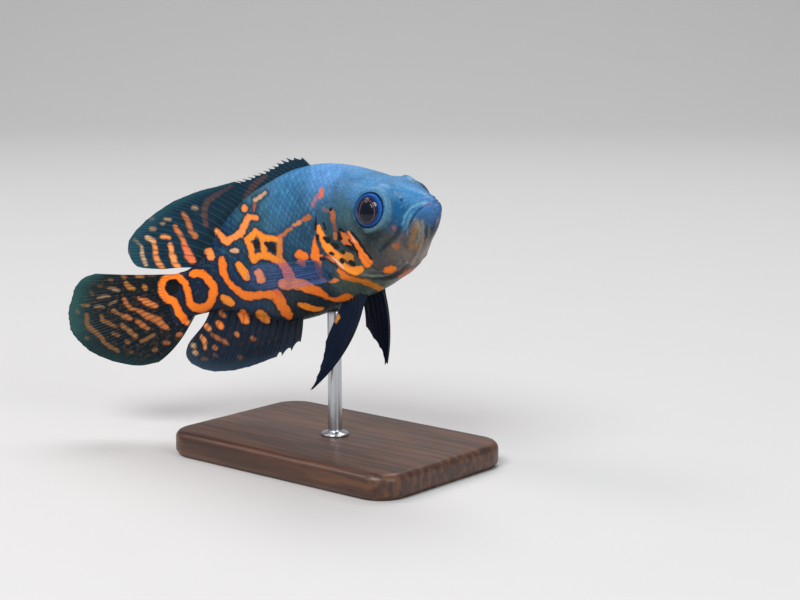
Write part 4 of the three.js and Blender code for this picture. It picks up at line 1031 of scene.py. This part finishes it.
# The anal fin. The same dark web under the tail, with three short spines in front of its soft rays.
# It carries a few spots near the body and is plain toward the edge.
ANAL_ROOTS = (98.5, 141)
ANAL_TIPS = [
    # root, tip s, tip z
    (98.5, 104.2, -34.6), (102.5, 112.4, -37.6), (108, 122, -38.2), (116, 132, -38.8),
    (124, 141.5, -38.2), (130, 150.5, -36.0), (134, 156.6, -32.0), (137, 158.8, -27.4),
    (139.2, 156.2, -22.6), (141, 150.4, -18.9),
]
ANAL_MARKS = [
    (PEACH, 0.75, [(207, 326, 2.7), (209, 329, 2.8)]),
    (PEACH, 0.7, [(201.6, 336.4, 2), (204.4, 340.4, 2.4), (205.4, 347.6, 2)]),
    (CREAM, 0.6, [(193, 345, 2.5), (194.4, 346, 2.5)]),
    (CREAM, 0.6, [(194.6, 352, 2.5), (196.4, 353, 2.5)]),
    (EMBER, 0.55, [(212.6, 334.6, 2), (217, 337.4, 2.2), (223, 340.4, 2), (228.6, 344, 1.5)]),
    (ORANGE, 0.9, [(219, 323, 3), (221, 326.4, 3.2)]),
    (EMBER, 0.65, [(214.6, 347, 2.2), (216, 348.2, 2.2)]),
    (BRONZE, 0.35, [(215, 355, 1.9), (216.4, 355.6, 1.9)]),
    (BRONZE, 0.35, [(203, 358.6, 1.7), (206.6, 359, 1.7)]),
    (EMBER, 0.9, [(236.4, 333.4, 2.4), (238, 334.8, 2.4)]),
    (EMBER, 0.55, [(252.6, 337.6, 2), (254, 339, 2)]),
    (BRONZE, 0.4, [(239.4, 356.6, 2), (241, 357.6, 2)]),
]
ray_fin("anal_fin_piece", "anal_fin",
        fin_finish("anal_fin_finish", "#0a1828", "#132232", "#1a2e44", "#4a6074", 0.4, mottle=0.15),
        ANAL_MARKS + BODY_MARKS,
        midline_fin(ANAL_ROOTS, ANAL_TIPS, belly_line, away=-1, lean=0.4, wave=0.5),
        seed=4, rays=15, spines=3, rows=46, per_ray=14,
        ray=(0.5, 0.14), foot=(1.1, 0.1), notches=(0.16, 0.01))

# The tail fin. A round fan of soft rays on the end of the tail, dark in the middle, speckled, with
# a teal rim that fades toward its lower rays.
TAIL_ROOT = dict(s=148.8, top=5.6, bottom=-11.4)
TAIL_TIPS = [
    # share across the root, tip s, tip z
    (0, 184, 16.9), (0.04, 188.8, 16.9), (0.1, 193.4, 14.8), (0.2, 196, 12.2), (0.35, 200.4, 5.0),
    (0.5, 201.4, -0.5), (0.65, 200, -7.0), (0.8, 195, -14.4), (0.9, 187.4, -20.8),
    (0.96, 179, -25.0), (1, 171, -26.0),
]
CAUDAL_MARKS = [
    (EMBER, 0.95, [(139.6, 298.4, 2), (147.5, 302.6, 3.2), (156, 306, 2.5)]),
    (EMBER, 0.7, [(124, 298.6, 1.8), (127, 304, 2.1), (131.6, 308.6, 1.7), (138, 310.4, 2.1),
        (147.5, 315.8, 3.3), (156.4, 319.4, 3.8), (162, 324, 3.4), (168, 328.4, 2.3)]),
    (EMBER, 0.65, [(137.6, 321.4, 2.2), (142.6, 325, 2.7), (148, 328.6, 2)]),
    (BRONZE, 0.9, [(122, 325, 1.9), (129, 330.6, 2.5), (136, 336.2, 2)]),
    (EMBER, 0.75, [(126.6, 316.6, 2.4), (129.8, 318.4, 2.6)]),
    (BRONZE, 0.85, [(113.6, 310.6, 2.3), (118.6, 313.4, 1.5), (124.6, 317, 2)]),
    (BRONZE, 0.75, [(101.4, 316, 2), (103, 320.4, 2), (109, 323.4, 1.6), (115, 326.4, 1.9)]),
    (BRONZE, 0.75, [(87, 315, 2.1), (87.6, 325, 2.4), (95, 331.6, 2.5), (101, 337, 2.3),
        (106, 343.6, 2), (118, 351, 1.6)]),
    (BRONZE, 0.6, [(126.6, 341.4, 2.1), (128.6, 342.4, 2.1)]),
    (BRONZE, 0.6, [(112.4, 333, 1.7), (118.4, 335.6, 1.7)]),
    (BRONZE, 0.65, [(141.6, 341.4, 1.7), (147, 339, 1.9), (153.6, 334.8, 2)]),
    (EMBER, 0.55, [(165.6, 342.6, 2.4), (168, 342.4, 2.4)]),
    (EMBER, 0.6, [(178.4, 334.6, 2.2), (180.6, 334.2, 2.2)]),
    (BRONZE, 0.6, [(154, 349.6, 2.1), (156, 349.4, 2.1)]),
    (BRONZE, 0.3, [(130.6, 352, 1.6), (132, 352, 1.6)]),
    (OCHRE, 0.75, [(125.6, 282.6, 2), (129.6, 287, 2.7), (133.6, 288.8, 2)]),
    (OCHRE, 0.5, [(123, 275.6, 2), (124.6, 277.4, 2)]),
    (OCHRE, 0.65, [(137.6, 275.8, 2.4), (142, 275.4, 2.6)]),
    (OCHRE, 0.4, [(148, 274.6, 1.5), (155, 274.2, 1.5)]),
    (OCHRE, 0.75, [(144.6, 286.6, 2.6), (145.4, 288.4, 2.6)]),
    (CREAM, 0.4, [(108.6, 288, 1.3), (114, 289, 2), (119, 290.4, 1.5)]),
    (BRONZE, 0.55, [(109.6, 279.4, 2), (111.6, 280, 2)]),
    (CREAM, 0.3, [(98, 298, 1.5), (104, 296.4, 1.9), (109.6, 296.4, 1.4)]),
    (CREAM, 0.28, [(95.6, 306.6, 1.6), (100, 306.4, 1.8), (104.4, 307.6, 1.3)]),
    (OLIVE, 0.85, [(82.4, 305, 1.4), (88.6, 305.6, 1.7)]),
    (CREAM, 0.28, [(110, 305, 1.3), (114, 302, 1.6), (116.6, 301.4, 1.3)]),
    (BRONZE, 0.35, [(91, 292, 1.6), (93, 295, 1.6)]),
    (BRONZE, 0.35, [(99, 286, 1.5), (101.4, 286.6, 1.5)]),
    (OLIVE, 0.5, [(77, 311, 1.4), (78, 312.4, 1.4)]),
    (OLIVE, 0.4, [(86, 338, 1.6), (87.6, 338.4, 1.6)]),
]
tail_tip_s = smooth_line([(u, s) for u, s, z in TAIL_TIPS])
tail_tip_z = smooth_line([(u, z) for u, s, z in TAIL_TIPS])


def tail_fin(u, v):
    root = [TAIL_ROOT["s"] + 0 * u, TAIL_ROOT["top"] + (TAIL_ROOT["bottom"] - TAIL_ROOT["top"]) * u]
    tip = [tail_tip_s(u), tail_tip_z(u)]
    spread = 0.4 + 0.38 * u
    control = [(root[0] + tip[0]) / 2, root[1] + (tip[1] - root[1]) * spread]
    s, z = along_ray(root, control, tip, v)
    return s, 0.9 * v * np.sin(7 * u), z


ray_fin("tail_fin_piece", "caudal_fin",
        fin_finish("tail_fin_finish", "#06152a", "#08171e", "#0e2a32", "#3a7470", 0.5, mottle=0.35,
                   edge_rays=8),
        CAUDAL_MARKS + BODY_MARKS, tail_fin,
        seed=5, rays=18, spines=0, rows=72, per_ray=14,
        ray=(0.5, 0.13), foot=(0.8, 0.12), notches=(0, 0.008))

# The paired fins. The pectorals are clear, thin fans behind the gill covers, with fine violet rays.
# The pelvics hang under the breast, dark and drawn out to a point, with one spine in front.
PECTORAL = dict(root_front=(61.6, 12.6, -5.6), root_back=(60.8, 12.2, -13.4), leave=(-7, 4.5, 0),
                settle=(-7, 4.5, 0), bow=0.5)
PECTORAL_TIPS = {
    # share across the root, tip s, tip y, tip z
    "right": [(0, 96, 17.6, 1.0), (0.2, 102, 17.4, -0.6), (0.45, 104.8, 17.0, -4.4),
              (0.65, 102.4, 16.6, -8.4), (0.85, 94, 16.4, -10.6), (1, 82, 16.2, -12.6)],
    "left": [(0, 94, 21.6, 2.4), (0.2, 100, 21.4, 0.4), (0.45, 103, 20.6, -4.0),
             (0.65, 100.6, 19.8, -8.6), (0.85, 92, 19.0, -12.4), (1, 80, 18.4, -15.4)],
}
PELVIC = dict(root_front=(54, 4.6, -21.4), root_back=(66, 3.4, -21.6), settle=(-1, 1, 1), bow=0.42)
PELVIC_LEAVE = {"right": (-10, 2, -6), "left": (-3, 1, -2)}
PELVIC_TIPS = {
    "right": [(0, 92, 14, -52.4), (0.2, 93.4, 13.6, -52.6), (0.4, 88.6, 12.8, -48.6),
              (0.6, 85.4, 12.0, -45.0), (0.8, 82, 11.2, -41.0), (1, 79, 10.4, -36.0)],
    "left": [(0, 75.6, 13.4, -53), (0.2, 77.2, 13.6, -53.2), (0.4, 75.8, 13.0, -50),
             (0.6, 75.4, 12.2, -46), (0.8, 76, 11.2, -41.6), (1, 76.6, 10, -36)],
}
PELVIC_MARKS = [(OCHRE, 0.95, [(336, 313.6, 2), (337.4, 317.6, 3), (336.4, 321.4, 1.8)])]


def paired_fin(side, root_front, root_back, leave, settle, tips, bow):
    """The middle surface of a fin at one side, leaving its root one way and settling at its tips."""
    tip_lines = [smooth_line([(tip[0], tip[k]) for tip in tips]) for k in (1, 2, 3)]

    def at(u, v):
        root = [a + (b - a) * u for a, b in zip(root_front, root_back)]
        tip = [line(u) for line in tip_lines]
        control = [r + (t - r) * bow + a + (b - a) * u for r, t, a, b in zip(root, tip, leave, settle)]
        s, y, z = along_ray(root, control, tip, v)
        return s, side * y, z
    return at


clear_finish = Finish("clear_fin_finish")
f = clear_finish
ray_line, reach = ray_lines(f), f.field("reach")
foot = 1 - f.between(reach, 0.03, 0.25)
streaks = f.between(f.streaks(f.field("beside") * 2.2, reach * 1.5, 1.0), 0.4, 0.65)
shade = f.mix(streaks, "#0c2858", "#3c62b0")
# the rays' own pale violet and a painted highlight along them
shade = f.mix(ray_line * 0.6, shade, "#7c98d8")
shade = f.mix(foot * 0.8, shade, "#1d4660")
f.close(Base_Color=shade, Roughness=0.3 + f.noise(1.5, 2) * 0.15,
        Normal=f.bump(ray_line + f.noise(0.5, 2) * 0.4, 0.05),
        Alpha=(0.06 + ray_line * 0.22 + streaks * 0.24) * (1.15 - reach * 0.8) + foot * 0.4,
        Specular_IOR_Level=0.25, Coat_Weight=0.1, Coat_Roughness=0.2)
pelvic_finish = fin_finish("pelvic_fin_finish", "#06182a", "#03122a", "#0c2238", "#16304a")
for side_name, side in (("right", -1), ("left", 1)):
    ray_fin(f"pectoral_fin_{side_name}_piece", f"pectoral_fin_{side_name}", clear_finish, None,
            paired_fin(side, tips=PECTORAL_TIPS[side_name], **PECTORAL),
            seed=6, rays=14, spines=0, rows=48, per_ray=10,
            ray=(0.25, 0.1), foot=(1.0, 0.07), notches=(0, 0.012), web=0.13)
    ray_fin(f"pelvic_fin_{side_name}_piece", f"pelvic_fin_{side_name}", pelvic_finish, PELVIC_MARKS,
            paired_fin(side, leave=PELVIC_LEAVE[side_name], tips=PELVIC_TIPS[side_name], **PELVIC),
            seed=7, rays=6, spines=1, rows=60, per_ray=16,
            ray=(0.55, 0.15), foot=(1.3, 0.08), notches=(0.04, 0.05))

# The eyes. Each is a clear dome over a blue iris with a thin red-brown ring round a wide dark pupil,
# as in a glass museum eye, set in the hollow of its socket.
EYE_RINGS = 72
EYE_SIDES = 96
PUPIL = 0.6
LENS_RISE = 0.2
LENS_EDGE = (0.06, 0.02)
IRIS_GROOVE = dict(outside=0.04, half_width=0.03, depth=0.12)
EYE_WRAP = 0.62
PUPIL_SHIFT = (0.2, 0.4)
PUPIL_SQUEEZE = (0.3, -0.3)

eye_finish = Finish("eye_finish")
f = eye_finish
out = f.field("from_middle") + (f.noise(0.8, 2) - 0.5) * 0.03
streaks = f.streaks(f.field("round_eye"), out * 0.7, 14.0)
shade = f.node("ShaderNodeValToRGB", {"stops": [
    (0.0, "#00081c"), (PUPIL - 0.03, "#000818"), (PUPIL, "#4a2c34"),
    (PUPIL + 0.02, "#64484e"), (PUPIL + 0.05, "#1a1a30"), (PUPIL + 0.12, "#0a1634"),
    (PUPIL + 0.2, "#082a5e"), (PUPIL + 0.27, "#124a94"), (PUPIL + 0.33, "#2c66b0"),
    (PUPIL + 0.37, "#123c74"), (1.0, "#08142a")]}, {"Fac": out})
shade = f.mix(f.between(streaks, 0.35, 0.75) * 0.4, shade, "#060c1c")
f.close(Base_Color=shade, Roughness=0.28 + streaks * 0.1, Normal=f.bump(streaks, 0.03),
        Specular_IOR_Level=0.05, Coat_Weight=1 - f.between(out, 0.78, 0.9), Coat_Roughness=0.03,
        Coat_IOR=1.36)
for side_name, side in (("right", -1), ("left", 1)):
    centre, along, up, facing = eye_axes(side)
    centre = centre - facing * EYE_SUNK
    rings = np.linspace(0, 1, EYE_RINGS + 1)[1:]
    latitude = rings * math.pi * EYE_WRAP
    outline = np.sin(latitude)
    height = np.cos(latitude)
    far = np.where(latitude < math.pi / 2, outline, 1.0)
    spin = np.arange(EYE_SIDES) * 2 * math.pi / EYE_SIDES
    toward_edge = 1 - np.minimum(far, 1)[:, None]
    from_pupil = np.hypot(*(
        far[:, None] * turned * (1 + squeeze * toward_edge) + shift * toward_edge
        for turned, squeeze, shift in zip((np.cos(spin), np.sin(spin)), PUPIL_SQUEEZE, PUPIL_SHIFT)))
    groove = hump(from_pupil - PUPIL - IRIS_GROOVE["outside"], IRIS_GROOVE["half_width"])
    lens = (LENS_RISE * (1 - rise(from_pupil, PUPIL - LENS_EDGE[0], PUPIL + LENS_EDGE[1]))
            - IRIS_GROOVE["depth"] * groove)
    ring_points = (centre + EYE_RADIUS * outline[:, None, None] * (
        np.cos(spin)[None, :, None] * along + np.sin(spin)[None, :, None] * up)
        + (EYE_DEPTH * height[:, None] + lens)[..., None] * facing)
    points = np.vstack([ring_points.reshape(-1, 3), (centre + (EYE_DEPTH + LENS_RISE) * facing)[None],
                        (centre + EYE_DEPTH * height[-1] * facing)[None]])
    faces = grid_faces(EYE_RINGS, EYE_SIDES, True) + closed_ends(EYE_RINGS, EYE_SIDES)
    if side < 0:
        faces = [face[::-1] for face in faces]
    fields = {
        "from_middle": np.concatenate([from_pupil.ravel(), [np.hypot(*PUPIL_SHIFT), 1]]),
        "round_eye": np.concatenate([np.tile(np.abs(spin - math.pi), EYE_RINGS), [0, 0]]),
    }
    eye = build_piece(f"eye_{side_name}_piece", points, faces, eye_finish, fields)
    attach(eye, "root")
    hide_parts(f"eye_{side_name}")

# The stand's base. One slab of dark stained wood, planed flat, with rounded corners and soft edges.
# It lies flat on its shelf and holds the rod in a hole in its middle.
BASE_LENGTH, BASE_WIDTH, BASE_HEIGHT, BASE_CORNER = 116, 76, 10, 12
BASE_PROFILE = [
    # how far in from the outline, height
    (3.0, 0.0), (1.6, 0.0), (1.2, 0.3), (0.9, 1.2), (0.25, 1.7), (0.0, 2.4), (0.0, 7.2),
    (0.15, 8.0), (0.6, 8.8), (1.3, 9.5), (2.2, 9.88), (3.4, 10.0), (8, 10.0),
]
CORNER_STEPS = 14


def rounded_outline(inset):
    points = []
    radius = BASE_CORNER - inset
    for quarter in range(4):
        x = (BASE_LENGTH / 2 - BASE_CORNER) * (1 if quarter in (0, 3) else -1)
        y = (BASE_WIDTH / 2 - BASE_CORNER) * (1 if quarter in (0, 1) else -1)
        for step in range(CORNER_STEPS + 1):
            angle = math.pi / 2 * (quarter + step / CORNER_STEPS)
            points.append((x + radius * math.cos(angle), y + radius * math.sin(angle)))
    return points


wood_finish = Finish("stained_wood")
f = wood_finish
grain = f.noise(2.2, 6, (0.045, 1, 0.6))
fine = f.noise(0.5, 3, (0.03, 1, 1))
pores = f.between(f.noise(0.7, 2, (0.05, 1, 1)), 0.62, 0.72)
shade = f.node("ShaderNodeValToRGB", {"stops": [
    (0.25, "#2a1710"), (0.48, "#4a2b1b"), (0.62, "#6a4128"),
    (0.8, "#3a2116")]}, {"Fac": grain})
shade = f.mix(fine * 0.4, shade, "#22120c")
shade = f.mix(pores * 0.5, shade, "#160b07")
f.close(Base_Color=shade, Roughness=0.38 + fine * 0.2, Normal=f.bump(grain * 0.6 - pores * 0.5, 0.08),
        Coat_Weight=0.25, Coat_Roughness=0.25)
base_rings = [[(x, y, height) for x, y in rounded_outline(inset)] for inset, height in BASE_PROFILE]
ring_size = len(base_rings[0])
points = [point for ring in base_rings for point in ring] + [(0, 0, 0), (0, 0, BASE_HEIGHT)]
base = build_piece("display_base", points, grid_faces(len(base_rings), ring_size, True)
                   + closed_ends(len(base_rings), ring_size), wood_finish)
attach(base, "root")
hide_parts("stand_base")

# The stand's rod. Brushed round steel, set in the base with a thin steel collar on the wood.
# Its top is hidden in the belly, under the fish's weight.
ROD_RADIUS = 2.75
ROD_SIDES = 48
ROD_FOOT = 4.3
COLLAR = [
    # radius, height
    (2.75, 10.0), (5.4, 10.0), (5.6, 10.15), (5.6, 10.7), (5.3, 11.0), (3.4, 11.2), (3.0, 11.5),
    (2.75, 11.6),
]
ROD_SHAFT = (12.5, 59)
SHAFT_RINGS = 30
ROD_BEVEL = 0.4
ROD_SHOULDER = 60.6
ROD_END = 60.8

steel_finish = Finish("brushed_steel")
f = steel_finish
brushed = f.noise(0.35, 3, (1, 1, 0.03))
f.close(Base_Color=f.mix(brushed * 0.4, "#c9ccd0", "#8f9499"), Metallic=1.0,
        Roughness=0.2 + brushed * 0.18, Normal=f.bump(brushed, 0.01))
rod_profile = [(0.0, ROD_FOOT), (ROD_RADIUS, ROD_FOOT)] + COLLAR
rod_profile += [(ROD_RADIUS, height) for height in np.linspace(*ROD_SHAFT, SHAFT_RINGS)]
rod_profile += [(ROD_RADIUS - ROD_BEVEL, ROD_SHOULDER), (0.0, ROD_END)]
spin = np.arange(ROD_SIDES) * 2 * math.pi / ROD_SIDES
points = [(max(radius, 0.01) * math.cos(a), max(radius, 0.01) * math.sin(a), height)
          for radius, height in rod_profile for a in spin]
rod = build_piece("display_rod", points, grid_faces(len(rod_profile), ROD_SIDES, True), steel_finish)
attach(rod, "root")
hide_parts("stand_rod")

# The studio: a plain pale floor that curves up behind, and soft lights.
FLOOR_NEAR = -3000
FLOOR_FAR = 1500
FLOOR_HALF_WIDTH = 3500
SWEEP_RADIUS = 1400
WALL_TOP = 3600
SWEEP_STEPS = 40
floor_finish = Finish("pale_floor")
f = floor_finish
f.close(Base_Color=f.mix(f.noise(60, 3) * 0.3, "#cccccb", "#c4c5c4"), Roughness=0.8)
floor_line = [(FLOOR_NEAR, 0), (0, 0)]
for step in range(SWEEP_STEPS + 1):
    angle = math.pi / 2 * step / SWEEP_STEPS
    floor_line.append((FLOOR_FAR + SWEEP_RADIUS * math.sin(angle), SWEEP_RADIUS * (1 - math.cos(angle))))
floor_line.append((FLOOR_FAR + SWEEP_RADIUS, WALL_TOP))
ahead, sideways = np.array([-math.sin(turn), math.cos(turn)]), np.array([math.cos(turn), math.sin(turn)])
points = [(*(ahead * distance + sideways * reach), height)
          for distance, height in floor_line for reach in (-FLOOR_HALF_WIDTH, FLOOR_HALF_WIDTH)]
floor = build_piece("floor", points, grid_faces(len(floor_line), 2, False), floor_finish)

LIGHTS = [
    # name, place, size, watts, colour
    ("key_light", (0.35, -1.45, 1.5), (1.1, 0.8), 30, (1, 1, 1)),
    ("fill_light", (1.7, -0.3, 0.8), (0.9, 1.1), 9.5, (1, 1, 1)),
    ("top_light", (-0.5, 0.9, 2.0), (1.6, 1.2), 25, (1, 1, 1)),
    ("glint_light", (-1.1, -0.8, 1.5), (0.8, 0.5), 8.5, (1, 0.82, 0.8)),
]
LIT = (0, 0, 0.08)
for name, place_at, size, watts, colour in LIGHTS:
    data = bpy.data.lights.new(name, "AREA")
    data.shape = "ELLIPSE"
    data.size, data.size_y = size
    data.energy = watts
    data.color = colour
    lamp = bpy.data.objects.new(name, data)
    lamp.location = place_at
    toward = np.array(LIT) - np.array(place_at)
    lamp.rotation_euler = (math.atan2(math.hypot(*toward[:2]), -toward[2]), 0,
                           math.atan2(toward[1], toward[0]) - math.pi / 2)
    bpy.context.scene.collection.objects.link(lamp)

world = bpy.data.worlds.new("studio")
world.use_nodes = True
world.node_tree.nodes["Background"].inputs["Color"].default_value = (0.9, 0.93, 1.0, 1)
world.node_tree.nodes["Background"].inputs["Strength"].default_value = 0.3
bpy.context.scene.world = world
bpy.context.scene.view_settings.view_transform = "Standard"
